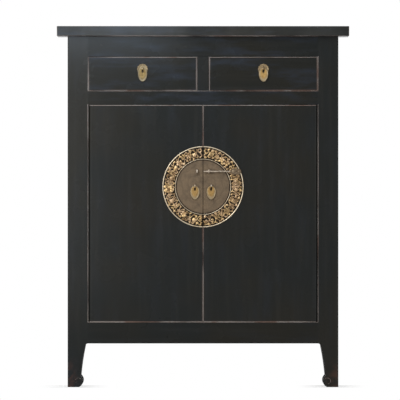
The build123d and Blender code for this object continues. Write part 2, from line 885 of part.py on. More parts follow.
def eye_bolt(x, z, face_y, seat_y):
    """A round eye of strap, edge-on to the front, with the pull's axis through its middle."""
    centre_y = face_y - eye_standoff
    with BuildSketch(Plane.YZ.offset(x)) as loop:
        with Locations((centre_y, z)):
            Circle(eye_radius + strap_thickness / 2)
            Circle(eye_radius - strap_thickness / 2, mode=Mode.SUBTRACT)
    extrude(loop.sketch, amount=strap_width / 2, both=True)
    behind_y = (face_y - shank_gap, face_y + eye_radius)
    timber(grown((x, x), eye_radius), behind_y, grown((z, z), 2 * eye_radius), Mode.SUBTRACT)
    shank(x, z, centre_y + eye_radius, seat_y)


def leaf_outline():
    """An egg with a blunt tip, half of it drawn and mirrored; the origin is the axis that it swings on."""
    half_width = leaf_pull_width / 2
    crown_height = leaf_widest_drop + leaf_pull_crown
    flank = (leaf_flank_width / 2, -leaf_flank_drop)
    tip = (leaf_tip_width / 2, leaf_tip_rise - leaf_pull_length)
    with BuildSketch(mode=Mode.PRIVATE) as outline:
        with BuildLine():
            crown = EllipticalCenterArc((0, -leaf_widest_drop), half_width, crown_height, arc_size=90)
            ThreePointArc(crown @ 0, flank, tip)
            TangentArc((0, -leaf_pull_length), tip, tangent=(1, 0))
            mirror(about=Plane.YZ)
        make_face()
        with BuildSketch(mode=Mode.PRIVATE) as hole:
            with Locations((0, -eye_radius)):
                Circle(strap_corner + leaf_hole_gap)
            with Locations((0, -eye_radius - leaf_hole_drop)):
                Circle(leaf_hole_wide)
            make_hull()
        add(hole.sketch, mode=Mode.SUBTRACT)
    return outline.sketch


leaf_face = leaf_outline()


def pull(x, z, face_y):
    """A hanging leaf, its thickness centred on the axis of its eye."""
    back_face_y = face_y - eye_standoff + leaf_pull_thickness / 2
    extrude(
        Plane(origin=(x, back_face_y, z), x_dir=(1, 0, 0), z_dir=(0, -1, 0)) * leaf_face,
        amount=leaf_pull_thickness,
    )


disc_face_y = front_y - disc_thickness
rosette_face_y = front_y - rosette_thickness

for side_name, side in sides.items():
    with BuildPart() as door_eye:
        eye_bolt(side * door_pull_offset, door_pull_z, disc_face_y, door_back_y)
    save(door_eye, f"door_{side_name}_pull_eye")

    with BuildPart() as door_pull:
        pull(side * door_pull_offset, door_pull_z, disc_face_y)
    save(door_pull, f"door_{side_name}_pull")

    with BuildPart() as drawer_eye:
        eye_bolt(side * drawer_centre_x, drawer_pull_z, rosette_face_y, drawer_inner_y)

    with BuildPart() as rosette:
        rosette_middle = (side * drawer_centre_x, front_y, drawer_pull_z - rosette_drop)
        with BuildSketch(Plane(origin=rosette_middle, x_dir=(1, 0, 0), z_dir=(0, -1, 0))):
            Circle(rosette_radius - rosette_lobe)
            with PolarLocations(rosette_radius - rosette_lobe, rosette_lobes):
                RegularPolygon(rosette_lobe, rosette_lobe_sides)
        extrude(amount=rosette_thickness)
        shank_hole(front_plane, [(side * drawer_centre_x, drawer_pull_z)])
        add(drawer_eye.part)
    save(rosette, f"drawer_{side_name}_pull_plate")

    with BuildPart() as drawer_pull:
        pull(side * drawer_centre_x, drawer_pull_z, rosette_face_y)
    save(drawer_pull, f"drawer_{side_name}_pull")

# ------------------------------------------------------------------ lock pin and staples

for side_name, staple_x in staple_places.items():
    with BuildPart() as staple:
        with BuildSketch(Plane.YZ.offset(staple_x - staple_width / 2)):
            with Locations((pin_y, staple_z)):
                RectangleRounded(staple_outside, staple_outside, staple_outside / 3)
                Rectangle(staple_eye, staple_eye, mode=Mode.SUBTRACT)
        extrude(amount=staple_width)
        shank(staple_x, staple_z, pin_y + (staple_outside + staple_eye) / 4, door_back_y)
    save(staple, f"staple_{side_name}")

# The pin stands drawn, its tip clear of the seam; pushed home, its shoulder stops short of the right staple.
pin_tip_x = door_free_x + pin_tip_from_seam
pin_rod_length = pin_locked_reach + staple_right_x + staple_width / 2 + pin_shoulder_gap
pin_back_y = pin_y + pin_head_thickness / 2
notch_reach = pin_radius + pin_head_notch

with BuildPart() as lock_pin:
    with BuildSketch(Plane.YZ.offset(pin_tip_x)):
        with Locations((pin_y, pin_z)):
            Circle(pin_radius)
    extrude(amount=pin_rod_length + pin_head_neck)
    chamfer(lock_pin.faces().sort_by(Axis.X)[0].edges(), length=pin_tip_chamfer)
    shoulder = (pin_tip_x + pin_rod_length, pin_back_y, pin_z)
    with BuildSketch(Plane(origin=shoulder, x_dir=(1, 0, 0), z_dir=(0, -1, 0))):
        with BuildLine():
            neck = Line((0, 0), (0, pin_neck_height / 2))
            Spline(
                neck @ 1,
                (pin_head_widest, pin_head_height / 2),
                (pin_head_length, 0),
                tangents=(pin_head_direction, pin_head_end_direction),
            )
            mirror(about=Plane.XZ)
        make_face()
        with Locations((pin_head_neck / 2, notch_reach), (pin_head_neck / 2, -notch_reach)):
            Circle(pin_head_notch, mode=Mode.SUBTRACT)
        with Locations((pin_head_hole_reach, 0)):
            Circle(pin_head_hole, mode=Mode.SUBTRACT)
    extrude(amount=pin_head_thickness)
save(lock_pin, "lock_pin")
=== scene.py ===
# %% [markdown]
# # A lacquered wedding cabinet, dressed piece by piece
# The cabinet's pieces arrive as a fixed frame at their real size, in metres, front towards -Y. This notebook
# finishes each of them, and makes those whose beauty is in their surface: the gilt ring of the lock plate, the
# hanging leaves and their rosettes. The frame's box is kept, because the dressed cabinet has to stay inside it.

import json
from math import asin, atan2, copysign, cos, exp, pi, radians, sin, sqrt

import bmesh
import bpy
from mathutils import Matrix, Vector

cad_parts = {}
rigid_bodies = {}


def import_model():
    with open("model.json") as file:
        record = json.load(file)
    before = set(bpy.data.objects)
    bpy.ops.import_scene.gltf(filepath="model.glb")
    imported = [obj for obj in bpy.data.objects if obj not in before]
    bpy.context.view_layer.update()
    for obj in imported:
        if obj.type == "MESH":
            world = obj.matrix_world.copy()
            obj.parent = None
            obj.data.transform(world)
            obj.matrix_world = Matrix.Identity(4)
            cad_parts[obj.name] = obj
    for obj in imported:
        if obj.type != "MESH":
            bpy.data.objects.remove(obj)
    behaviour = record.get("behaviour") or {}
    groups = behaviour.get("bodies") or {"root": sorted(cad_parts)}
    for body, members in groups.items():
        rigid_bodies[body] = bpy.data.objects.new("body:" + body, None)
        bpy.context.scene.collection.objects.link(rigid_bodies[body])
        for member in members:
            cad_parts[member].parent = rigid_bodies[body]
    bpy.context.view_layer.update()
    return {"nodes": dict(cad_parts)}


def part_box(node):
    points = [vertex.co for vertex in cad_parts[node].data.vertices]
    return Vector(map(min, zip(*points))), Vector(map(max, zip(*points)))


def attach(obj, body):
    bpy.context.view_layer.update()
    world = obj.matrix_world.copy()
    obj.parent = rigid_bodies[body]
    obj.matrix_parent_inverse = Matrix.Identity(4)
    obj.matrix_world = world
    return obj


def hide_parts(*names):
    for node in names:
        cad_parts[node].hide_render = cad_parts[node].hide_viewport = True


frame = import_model()

# %% [markdown]
# ## Places worked out from the frame
# Everything new is placed from the boxes of the pieces it belongs to: the doors' front face, the middle of the lock
# plate, the axis of each pull. Nothing is typed in twice.

# %% Places
MM = 0.001
SIDES = {"left": -1, "right": 1}

disc_low, disc_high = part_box("lock_disc_right")
ring_low, ring_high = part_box("lock_ring_right")
board_low, board_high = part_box("door_right_board")
seam_x, front_y, _ = board_low
plate_z = (ring_low[2] + ring_high[2]) / 2
plate_centre = (0.0, front_y, plate_z)
ring_radius = (ring_high[2] - ring_low[2]) / 2
disc_radius = (disc_high[2] - disc_low[2]) / 2
print("front face, plate centre, ring radius:", *(round(value, 4) for value in (front_y, plate_z, ring_radius)))

# %% [markdown]
# ## Wiring nodes
# A sky, a finish and a Geometry Nodes tree are all nets of small nodes. This class joins them: a plain value is set
# on a node's input, and another node is linked to it. Its last methods are steps that come back all the time.

# %% A net of nodes
WHITE = (1, 1, 1)


class Net:
    """A tree of nodes, and the ways to add to it."""

    def __init__(self, tree):
        self.tree = tree

    def feed(self, socket, value):
        """Link or set an input. A node stands for its first output; a colour gets full cover."""
        if isinstance(value, bpy.types.Node):
            value = value.outputs[0]
        if isinstance(value, bpy.types.NodeSocket):
            self.tree.links.new(value, socket)
        elif value is not None:
            socket.default_value = (*value, 1) if socket.type == "RGBA" else value

    def put(self, node, *values, **named):
        """Feed a node's inputs, in order and then by name, with _ for a blank."""
        for socket, value in zip(node.inputs, values):
            self.feed(socket, value)
        for name, value in named.items():
            self.feed(node.inputs[name.replace("_", " ")], value)

    def add(self, kind, *values, **named):
        """A new node. Names with a small letter are its settings; the rest feeds its inputs."""
        node = self.tree.nodes.new(kind)
        for name in [name for name in named if name[0].islower()]:
            setattr(node, name, named.pop(name))
        self.put(node, *values, **named)
        return node

    def group(self, net, **inputs):
        return self.add("ShaderNodeGroup", node_tree=net.tree, **inputs).outputs

    def math(self, operation, *values):
        return self.add("ShaderNodeMath", *values, operation=operation)

    def times(self, first, second, plus=None):
        return self.math("MULTIPLY" if plus is None else "MULTIPLY_ADD", first, second, plus)

    def minus(self, first, second):
        return self.math("SUBTRACT", first, second)

    def vector(self, operation, *values, output=0):
        return self.add("ShaderNodeVectorMath", *values, operation=operation).outputs[output]

    def far(self, first, second):
        return self.vector("DISTANCE", first, second, output="Value")

    def parts(self, vector):
        return self.add("ShaderNodeSeparateXYZ", vector).outputs

    def join(self, x, y, z):
        return self.add("ShaderNodeCombineXYZ", x, y, z)

    def place(self):
        """Where a point lies on its own piece, in metres."""
        return self.add("ShaderNodeTexCoord").outputs["Object"]

    def noise(self, place, scale, detail=3.0, rough=0.55):
        inputs = {"Vector": place, "Scale": scale, "Detail": detail, "Roughness": rough}
        return self.add("ShaderNodeTexNoise", **inputs).outputs["Fac"]

    def ramp(self, *values):
        """A value from low to high becomes 0 to 1, or start to end, softly, and stays there outside."""
        return self.add("ShaderNodeMapRange", *values, interpolation_type="SMOOTHSTEP")

    def blend(self, share, first, second):
        """The colour that has gone this share of the way from first to second."""
        return self.add("ShaderNodeMix", share, *[None] * 5, first, second, data_type="RGBA").outputs[2]


print("methods of a net:", len([name for name in vars(Net) if name[0] != "_"]))

# %% [markdown]
# ## A white studio
# A piece for a catalogue stands on a white sweep under soft light. Here the world is the wall. Rays from the
# camera, from mirror reflections and through glass see it plain white, and rays that carry light see a dimmer grey,
# so the background doesn't wash the cabinet out.

# %% World
WORLD_LIGHT = 0.5


def seen_directly(net):
    """1 for rays that see the background, and 0 for those that carry light."""
    rays = net.add("ShaderNodeLightPath").outputs
    mirrored = net.math("MAXIMUM", rays["Is Glossy Ray"], rays["Is Transmission Ray"])
    return net.math("MAXIMUM", rays["Is Camera Ray"], mirrored)


world = bpy.data.worlds.new("white studio")
bpy.context.scene.world = world
world.use_nodes = True
world.node_tree.nodes.clear()
sky = Net(world.node_tree)
strength = sky.times(seen_directly(sky), 1 - WORLD_LIGHT, WORLD_LIGHT)
wall = sky.add("ShaderNodeBackground", WHITE, strength)
sky.add("ShaderNodeOutputWorld", wall)
print("world strength for light:", WORLD_LIGHT)

# %% [markdown]
# The floor is a real surface, so the cabinet keeps its shadow. Away from the feet its matt paint melts into a white
# glow. The feet mirror each other, so the absolute value of a place folds all four onto one.

# %% Floor
FLOOR_SIZE = 160
FOOT_PLACE = (0.43, 0.19, 0.0)
SHADOW_REACH = 0.03
FADE_REACH = 0.13
FLOOR_PAINT = (0.86, 0.86, 0.85)


def new_material(name):
    """An empty material, and its net."""
    material = bpy.data.materials.new(name)
    material.use_nodes = True
    material.node_tree.nodes.clear()
    return material, Net(material.node_tree)


bpy.ops.mesh.primitive_plane_add(size=FLOOR_SIZE, location=(0, 0, 0))
floor = bpy.context.object
floor.name = "studio_floor"
paint, net = new_material("studio floor paint")
from_foot = net.far(net.vector("ABSOLUTE", net.place()), FOOT_PLACE)
glow_share = net.times(net.ramp(from_foot, SHADOW_REACH, FADE_REACH), seen_directly(net))
matt = net.add("ShaderNodeBsdfDiffuse", FLOOR_PAINT)
glow = net.add("ShaderNodeEmission", WHITE, 1.0)
mixed = net.add("ShaderNodeMixShader", glow_share, matt, glow)
net.add("ShaderNodeOutputMaterial", mixed)
floor.data.materials.append(paint)
print("floor", FLOOR_SIZE, "m across")

# %% [markdown]
# ## Lamps and camera
# One large soft lamp stands high on the left, a weaker one low on the right, and a third rakes the top from behind.
# Two small ones hang close in front, because polished lacquer shows little but reflections, and a level camera sees
# in the doors only what is straight before them. The camera stands far away with a long lens, which keeps upright
# lines parallel.

# %% Lamps
LAMPS = {
    # name: place, aim, size in metres, watts, tint
    "key": ((-2.6, -3.4, 3.0), (-0.1, -0.2, 0.75), 2.2, 110, WHITE),
    "fill": ((3.2, -3.0, 1.2), (0.1, -0.2, 0.6), 2.4, 14, (1, 0.98, 0.94)),
    "rim": ((0.6, 2.8, 3.0), (0.0, 0.0, 0.9), 2.0, 45, WHITE),
    "sheen": ((-0.30, -1.0, 1.34), (-0.30, 0.0, 1.34), 0.40, 4.8, (0.70, 0.84, 1)),
    "left": ((-0.85, -1.7, 0.76), (-0.85, 0.0, 0.76), 0.95, 6.5, (0.94, 0.97, 1)),
}


def new_object(name, data):
    thing = bpy.data.objects.new(name, data)
    bpy.context.collection.objects.link(thing)
    return thing


for lamp_name, (place, aim, size, watts, tint) in LAMPS.items():
    light = bpy.data.lights.new(lamp_name, "AREA")
    light.shape, light.size, light.energy, light.color = "SQUARE", size, watts, tint
    lamp = new_object(lamp_name, light)
    lamp.location = place
    lamp.rotation_euler = (Vector(aim) - Vector(place)).to_track_quat("-Z", "Y").to_euler()
print("lamps:", ", ".join(LAMPS))

# %% Camera
LENS = 1600
SENSOR = 36
FARTHEST_SEEN = 200
PICTURE_WIDTH = 1.330
PICTURE_MIDDLE = (-0.0100, 0.622)

camera = new_object("camera", bpy.data.cameras.new("camera"))
camera.data.lens, camera.data.sensor_width, camera.data.clip_end = LENS, SENSOR, FARTHEST_SEEN
distance = PICTURE_WIDTH * LENS / SENSOR
camera.location = (PICTURE_MIDDLE[0], front_y - distance, PICTURE_MIDDLE[1])
camera.rotation_euler = (radians(90), 0, 0)
bpy.context.scene.camera = camera
bpy.context.scene.view_settings.view_transform = "Standard"
print("camera", round(distance, 2), "m in front of the doors")

# %% [markdown]
# ## Where lacquer wears through
# On an old cabinet the lacquer goes first at the arrises, the sharp lines where two faces meet. A node group finds
# them from the piece's own box: the second smallest of a point's distances to the box's faces is its distance to
# the nearest arris. Faces that butt against another piece are passed over, because hands and cloths never reach a
# joint.

# %% Arris finder


def new_group(name, kind, inputs, outputs):
    """An empty group of nodes: its net, what it is given and its result. Sockets are type: names."""
    group = bpy.data.node_groups.new(name, kind)
    for in_out, sockets in (("INPUT", inputs), ("OUTPUT", outputs)):
        for socket_type, names in sockets.items():
            for socket_name in names.split(", "):
                group.interface.new_socket(socket_name, in_out=in_out, socket_type="NodeSocket" + socket_type)
    return Net(group), group.nodes.new("NodeGroupInput").outputs, group.nodes.new("NodeGroupOutput")


sockets = ({"Vector": "Low, High, Skip low, Skip high"}, {"Float": "Distance"})
arrises, given, result = new_group("distance to arris", "ShaderNodeTree", *sockets)
place = arrises.place()
from_faces = []
for corner, skip in (("Low", "Skip low"), ("High", "Skip high")):
    apart = arrises.vector("ABSOLUTE", arrises.vector("SUBTRACT", place, given[corner]))
    from_faces.append(arrises.vector("ADD", apart, given[skip]))
x, y, z = arrises.parts(arrises.vector("MINIMUM", *from_faces))
pairs = [arrises.math("MAXIMUM", *pair) for pair in ((x, y), (y, z), (x, z))]
shortest = arrises.math("MINIMUM", arrises.math("MINIMUM", pairs[0], pairs[1]), pairs[2])
arrises.put(result, Distance=shortest)
print("arris finder has", len(arrises.tree.nodes), "nodes")

# %% [markdown]
# ## Black lacquer
# Many thin coats over a red-brown ground, rubbed down and polished: nearly black, never quite even. Slow noise
# shifts the black between a blue and an olive cast and lays pale blue clouds on it; the clouds are painted
# reflection, standing in for the uneven sheen of the polish. Noise drawn out along the grain gives the faint ridges
# of the wood below. Near an arris the black thins to brown and then to bare, dusty wood: a hairline that runs on
# for a hand's breadth or two, fades, and begins again. Its pale grey is worn wood and painted highlight in one,
# where a rounded arris catches the light. Wear says how much a piece is handled.

# %% Lacquer group: the black
BLACK_COOL = (0.0068, 0.0080, 0.0075)
BLACK_WARM = (0.0096, 0.0088, 0.0062)
RIDGE_BROWN = (0.024, 0.022, 0.018)
PAINTED_REFLECTION_BLUE = (0.0150, 0.0180, 0.0235)
CLOUD_DRAWN_OUT = 0.85

sockets = ({"Float": "Arris, Wear, Clouds", "Vector": "Grain"}, {"Color": "Colour", "Float": "Roughness, Height"})
coats, given, result = new_group("rubbed lacquer", "ShaderNodeTree", *sockets)
place = coats.place()
streaks = coats.noise(coats.vector("MULTIPLY", place, given["Grain"]), 55.0, 4.0, 0.6)
black = coats.blend(coats.ramp(coats.noise(place, 3.2, 2.0), 0.35, 0.65), BLACK_COOL, BLACK_WARM)
black = coats.blend(coats.ramp(streaks, 0.45, 0.75, 0.0, 0.25), black, RIDGE_BROWN)
drawn_out = coats.vector("MULTIPLY_ADD", given["Grain"], (CLOUD_DRAWN_OUT,) * 3, (1 - CLOUD_DRAWN_OUT,) * 3)
# Pale blue clouds: painted reflection, standing in for the uneven sheen of the polish.
reflection_clouds = coats.noise(coats.vector("MULTIPLY", place, drawn_out), 24.0, 5.0, 0.66)
painted_reflection = coats.times(coats.ramp(reflection_clouds, 0.46, 0.72), given["Clouds"])
black = coats.blend(painted_reflection, black, PAINTED_REFLECTION_BLUE)
print("nodes of the black:", len(coats.tree.nodes))

# %% Lacquer group: the worn line
GROUND_RED = (0.070, 0.030, 0.020)
RUBBED_WOOD_AND_HIGHLIGHT = (0.30, 0.275, 0.252)
RUBBED_RED = (0.16, 0.095, 0.070)
LINE_WIDTHS = (0.7 * MM, 1.7 * MM)
RAGGED = 0.6 * MM

fine = coats.noise(place, 420.0, 2.0)
stretches = coats.ramp(coats.noise(place, 6.0, 2.0, 0.5), 0.30, 0.56, *LINE_WIDTHS)
ragged = coats.times(fine, RAGGED, -RAGGED / 2)
width = coats.times(stretches, given["Wear"])
thin = coats.minus(1.0, coats.math("DIVIDE", coats.math("ADD", given["Arris"], ragged), width))
# The pale line is worn wood and painted highlight in one: a rounded arris catching the light.
bare_and_highlit = coats.ramp(thin, 0.0, 0.4)
browned = coats.blend(coats.ramp(thin, -0.6, 0.1), black, GROUND_RED)
reddened = coats.ramp(coats.noise(place, 8.5, 2.0), 0.54, 0.62, 0.0, 0.75)
polish = coats.ramp(coats.noise(place, 9.0, 3.0), 0.3, 0.7, 0.23, 0.29)
ridges = coats.times(streaks, 0.5, coats.times(fine, 0.12))
coats.put(
    result,
    Colour=coats.blend(bare_and_highlit, browned, coats.blend(reddened, RUBBED_WOOD_AND_HIGHLIGHT, RUBBED_RED)),
    Roughness=coats.times(bare_and_highlit, 0.3, polish),
    Height=coats.minus(ridges, coats.times(bare_and_highlit, 0.5)),
)
print("lacquer group has", len(coats.tree.nodes), "nodes")

# %% [markdown]
# Each wooden piece gets a material of its own, which hands the groups the piece's box, the faces that butt against
# its neighbours and the run of its grain. Lacquer is smooth but thin, so its mirror is kept weak.

# %% Lacquer for one piece
GRAIN_RUN = {"x": (0.05, 1, 1), "y": (1, 0.05, 1), "z": (1, 1, 0.05)}
TOP_PALE_GREY = (0.30, 0.29, 0.27)
SCUFF_FROM, SCUFF_RUN = 0.41, 0.03
LACQUER_DEPTH = 0.12 * MM

rails = {level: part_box(f"front_rail_{level}") for level in ("bottom", "middle", "top")}
OPENINGS = tuple((rails[low][1][2], rails[high][0][2]) for low, high in (("bottom", "middle"), ("middle", "top")))


def finish_material(net, height=None, depth=None, **inputs):
    """The end of a material: a shader with these inputs, raised by a height of that depth."""
    if height is not None:
        inputs["Normal"] = net.add("ShaderNodeBump", Strength=1.0, Distance=depth, Height=height)
    shader = net.add("ShaderNodeBsdfPrincipled", **inputs)
    net.add("ShaderNodeOutputMaterial", shader)


def arris_distance(net, part, place, held_off):
    """Distance to the nearest arris that wears. Held_off gives faces, such as x- or y+, and metres."""
    low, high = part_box(part)
    if part.endswith("pivot_stile"):
        # Its box reaches to the ends of its pivots, but its own top and foot are level with the door board's.
        low, high = (*low[:2], board_low[2]), (*high[:2], board_high[2])
    skip_low, skip_high = (tuple(held_off.get(axis + sign, 0.0) for axis in "xyz") for sign in "-+")
    distance = net.group(arrises, Low=low, High=high, Skip_low=skip_low, Skip_high=skip_high)["Distance"]
    if part.startswith("door_") and part.endswith("board"):
        # The lock plate covers the middle of the meeting edge, so nothing rubs it there.
        distance = net.math("MAXIMUM", distance, net.minus(ring_radius, net.far(place, plate_centre)))
    if part.startswith("post_front"):
        # A post's inner arris stands free, and shows wear, only beside the doors and the drawers.
        beside = []
        for bottom, top in OPENINGS:
            from_middle = net.math("ABSOLUTE", net.minus(net.parts(place)[2], (bottom + top) / 2))
            beside.append(net.minus(from_middle, (top - bottom) / 2))
        distance = net.math("MAXIMUM", distance, net.math("MINIMUM", *beside))
    return distance


def lacquer(part, run, wear, held_off):
    """Black lacquer for one wooden piece, with its grain along an axis and its own share of wear."""
    material, net = new_material(f"lacquer {part}")
    place = net.place()
    arris = arris_distance(net, part, place, held_off)
    is_top, lies_level = part.startswith("top_"), run == "x"
    # Painted reflection: the pale blue clouds lie full on level pieces, and faint on the bottom, the back and
    # upright pieces.
    reflection_clouds = 1.0 if lies_level and "bottom" not in part and "back" not in part else 0.25
    worn = net.group(coats, Arris=arris, Grain=GRAIN_RUN[run], Wear=wear, Clouds=reflection_clouds)
    colour = worn["Colour"]
    if is_top:
        # The top pieces turn a faint pale grey in patches.
        colour = net.blend(net.ramp(net.noise(place, 11.0, 4.0), 0.3, 0.7, 0.03, 0.065), colour, TOP_PALE_GREY)
    if part.startswith("post_"):
        # Brooms and shoes scuff the feet on their outer side, down to the red ground.
        across, _, upward = net.parts(place)
        outer = net.ramp(net.math("ABSOLUTE", across), SCUFF_FROM, SCUFF_FROM + SCUFF_RUN)
        scuffed = net.times(outer, net.ramp(upward, 0.015, 0.11, 0.55, 0.0))
        patches = net.ramp(net.noise(place, 30.0), 0.38, 0.62)
        colour = net.blend(net.times(scuffed, patches), colour, GROUND_RED)
    shine = 0.09 if is_top else 0.125 if lies_level else 0.15
    looks = {"Base_Color": colour, "Roughness": worn["Roughness"], "Specular_IOR_Level": shine}
    finish_material(net, worn["Height"], LACQUER_DEPTH, **looks)
    return material


print("openings between the front rails:", OPENINGS)

# %% [markdown]
# A table lists the show pieces: how their grain runs, which faces lie against a neighbour, and how much they are
# handled. It also holds the front rails' lower faces, which butt nothing: their arrises catch no light, and the
# pale worn line, which is partly painted highlight, is kept off them. Wear is held a whole metre off such a face.
# Drawer fronts and doors sit a hair inside their openings, so a neighbour half hides some faces and narrows the
# worn line there.

# %% Lacquer on every show piece
UNWORN_REACH = 1.0
DOOR_ENDS = {"z-": 0.4 * MM, "z+": 0.2 * MM}
DOOR_SEAM = 0.45 * MM

show_pieces = {
    # piece: run of the grain, faces held off the wear (those that butt, and the front rails' unlit lower faces),
    # wear
    "top_frame_front": ("x", "y+ z+", 0.7),
    "top_frame_back": ("x", "y-", 0.3),
    "top_frame_left": ("y", "x+", 0.4),
    "top_frame_right": ("y", "x-", 0.4),
    "top_panel": ("x", "", 0.3),
    "drawer_divider": ("z", "z- z+ y+", 0.5),
    "back_panel_lower": ("x", "x- x+ z- z+", 0.3),
    "back_panel_upper": ("x", "x- x+ z- z+", 0.3),
}
sheltered = {"drawer_left_front": {"z-": 0.5 * MM}, "drawer_right_front": {"z-": 0.5 * MM, "z+": 0.3 * MM}}
for level in rails:
    # Painted highlight: a front rail's lower face butts nothing, but its arris catches no light, so no pale line is
    # drawn there.
    show_pieces[f"front_rail_{level}"] = ("x", "x- x+ y+ z-", 0.7)
    show_pieces[f"back_rail_{level}"] = ("x", "x- x+ y-", 0.3)
for hand, side in SIDES.items():
    inner, outer = ("x-", "x+") if side > 0 else ("x+", "x-")
    for level in ("bottom", "top"):
        show_pieces[f"side_rail_{level}_{hand}"] = ("y", f"y- y+ {inner}", 0.35)
    show_pieces[f"side_panel_{hand}"] = ("z", "x- x+ y- y+ z- z+", 0.3)
    show_pieces[f"post_front_{hand}"] = ("z", f"z- z+ y+ {outer}", 0.8)
    show_pieces[f"post_back_{hand}"] = ("z", f"z- z+ {inner}", 0.3)
    show_pieces[f"drawer_{hand}_front"] = ("x", "", 1.0)
    show_pieces[f"door_{hand}_board"] = ("z", outer, 1.0)
    show_pieces[f"door_{hand}_pivot_stile"] = ("z", inner, 1.0)
    sheltered[f"door_{hand}_board"] = {inner: DOOR_SEAM, **DOOR_ENDS}
    sheltered[f"door_{hand}_pivot_stile"] = DOOR_ENDS


def dress(part, material):
    piece = frame["nodes"][part]
    piece.data.materials.clear()
    piece.data.materials.append(material)


for part, (run, faces_held_off, wear) in show_pieces.items():
    held_off = {**sheltered.get(part, {}), **dict.fromkeys(faces_held_off.split(), UNWORN_REACH)}
    dress(part, lacquer(part, run, wear, held_off))
print("lacquered pieces:", len(show_pieces))

# %% [markdown]
# ## Bare wood inside
# Inside, elm is left bare. Rings of noise stretched along the board give the figure, a second finer noise the
# pores, and a third one the grey of old dust.

# %% Bare wood
WOOD_LIGHT = (0.36, 0.22, 0.115)
WOOD_DARK = (0.17, 0.092, 0.045)
WOOD_DUST = (0.21, 0.18, 0.15)
WOOD_DEPTH = 0.2 * MM
FIGURE_RINGS = 7.0


def bare_wood(run):
    material, net = new_material(f"bare elm along {run}")
    place = net.place()
    along = net.vector("MULTIPLY", place, GRAIN_RUN[run])
    figure = net.noise(along, 26.0, 5.0, 0.6)
    pores = net.noise(along, 420.0, 2.0, 0.5)
    rings = net.math("PINGPONG", net.times(figure, FIGURE_RINGS), 1.0)
    colour = net.blend(net.ramp(rings, 0.1, 0.95), WOOD_DARK, WOOD_LIGHT)
    colour = net.blend(net.ramp(pores, 0.60, 0.78, 0.0, 0.6), colour, WOOD_DARK)
    colour = net.blend(net.ramp(net.noise(place, 5.0), 0.45, 0.75, 0.0, 0.5), colour, WOOD_DUST)
    rough = net.ramp(figure, 0.3, 0.7, 0.62, 0.78)
    height = net.times(pores, -0.6, rings)
    finish_material(net, height, WOOD_DEPTH, Base_Color=colour, Roughness=rough)
    return material


bare_pieces = {"x": ["floor_board", "shelf"], "y": ["shelf_cleats", "drawer_runners", "top_battens"]}
for hand in SIDES:
    bare_pieces["x"] += [f"door_{hand}_battens", f"drawer_{hand}_back", f"drawer_{hand}_bottom"]
    bare_pieces["y"] += [f"drawer_{hand}_outer_side", f"drawer_{hand}_inner_side"]
for run, names in bare_pieces.items():
    elm = bare_wood(run)
    for part in names:
        dress(part, elm)
print("bare pieces:", sum(map(len, bare_pieces.values())))

# %% [markdown]
# ## Brass and bronze
# All the fittings are brass, but not all of them shine. Gilt relief keeps its gold where it stands proud, pulls are
# rubbed by hands every day, and the inner disc has a dull brown skin, with lines that a graver drew round its lock.
# One function makes all of them.

# %% Graver's lines
PAINTED_SHADE = (0.020, 0.012, 0.007)
LINE_SHADE = (0.035, 0.026, 0.018)
BORDER_INSET = 5 * MM
RING_SHADE_BAND = (4.0 * MM, 1.8 * MM)


def engrave(net, place, colour, height):
    """Wavy rings and a border line round the lock, and the shade below the ring's edge."""
    from_centre = net.vector("SUBTRACT", place, plate_centre)
    strokes = {"Scale": 11.0, "Distortion": 9.0, "Detail": 1.0, "Detail_Scale": 1.6}
    waves = net.add("ShaderNodeTexWave", from_centre, wave_type="RINGS", rings_direction="Y", **strokes)
    radius = net.vector("LENGTH", from_centre, output="Value")
    from_border = net.math("ABSOLUTE", net.minus(radius, disc_radius - BORDER_INSET))
    border = net.ramp(from_border, 0.4 * MM, 0.9 * MM, 1.0, 0.0)
    lines = net.math("MAXIMUM", net.ramp(waves.outputs["Fac"], 0.80, 0.97), border)
    colour = net.blend(net.times(lines, 0.16), colour, LINE_SHADE)
    # Painted shade: the disc darkens in a band just inside the ring, where the ring shades it.
    ring_edge_shade = net.ramp(radius, disc_radius - RING_SHADE_BAND[0], disc_radius - RING_SHADE_BAND[1], 0.0, 0.9)
    return net.blend(ring_edge_shade, colour, PAINTED_SHADE), net.times(lines, -0.6, height)


print("border line at radius", round(disc_radius - BORDER_INSET, 4))

# %% Brass family
BRASS_DEPTH = 0.12 * MM
SPECKS_FINER = 14


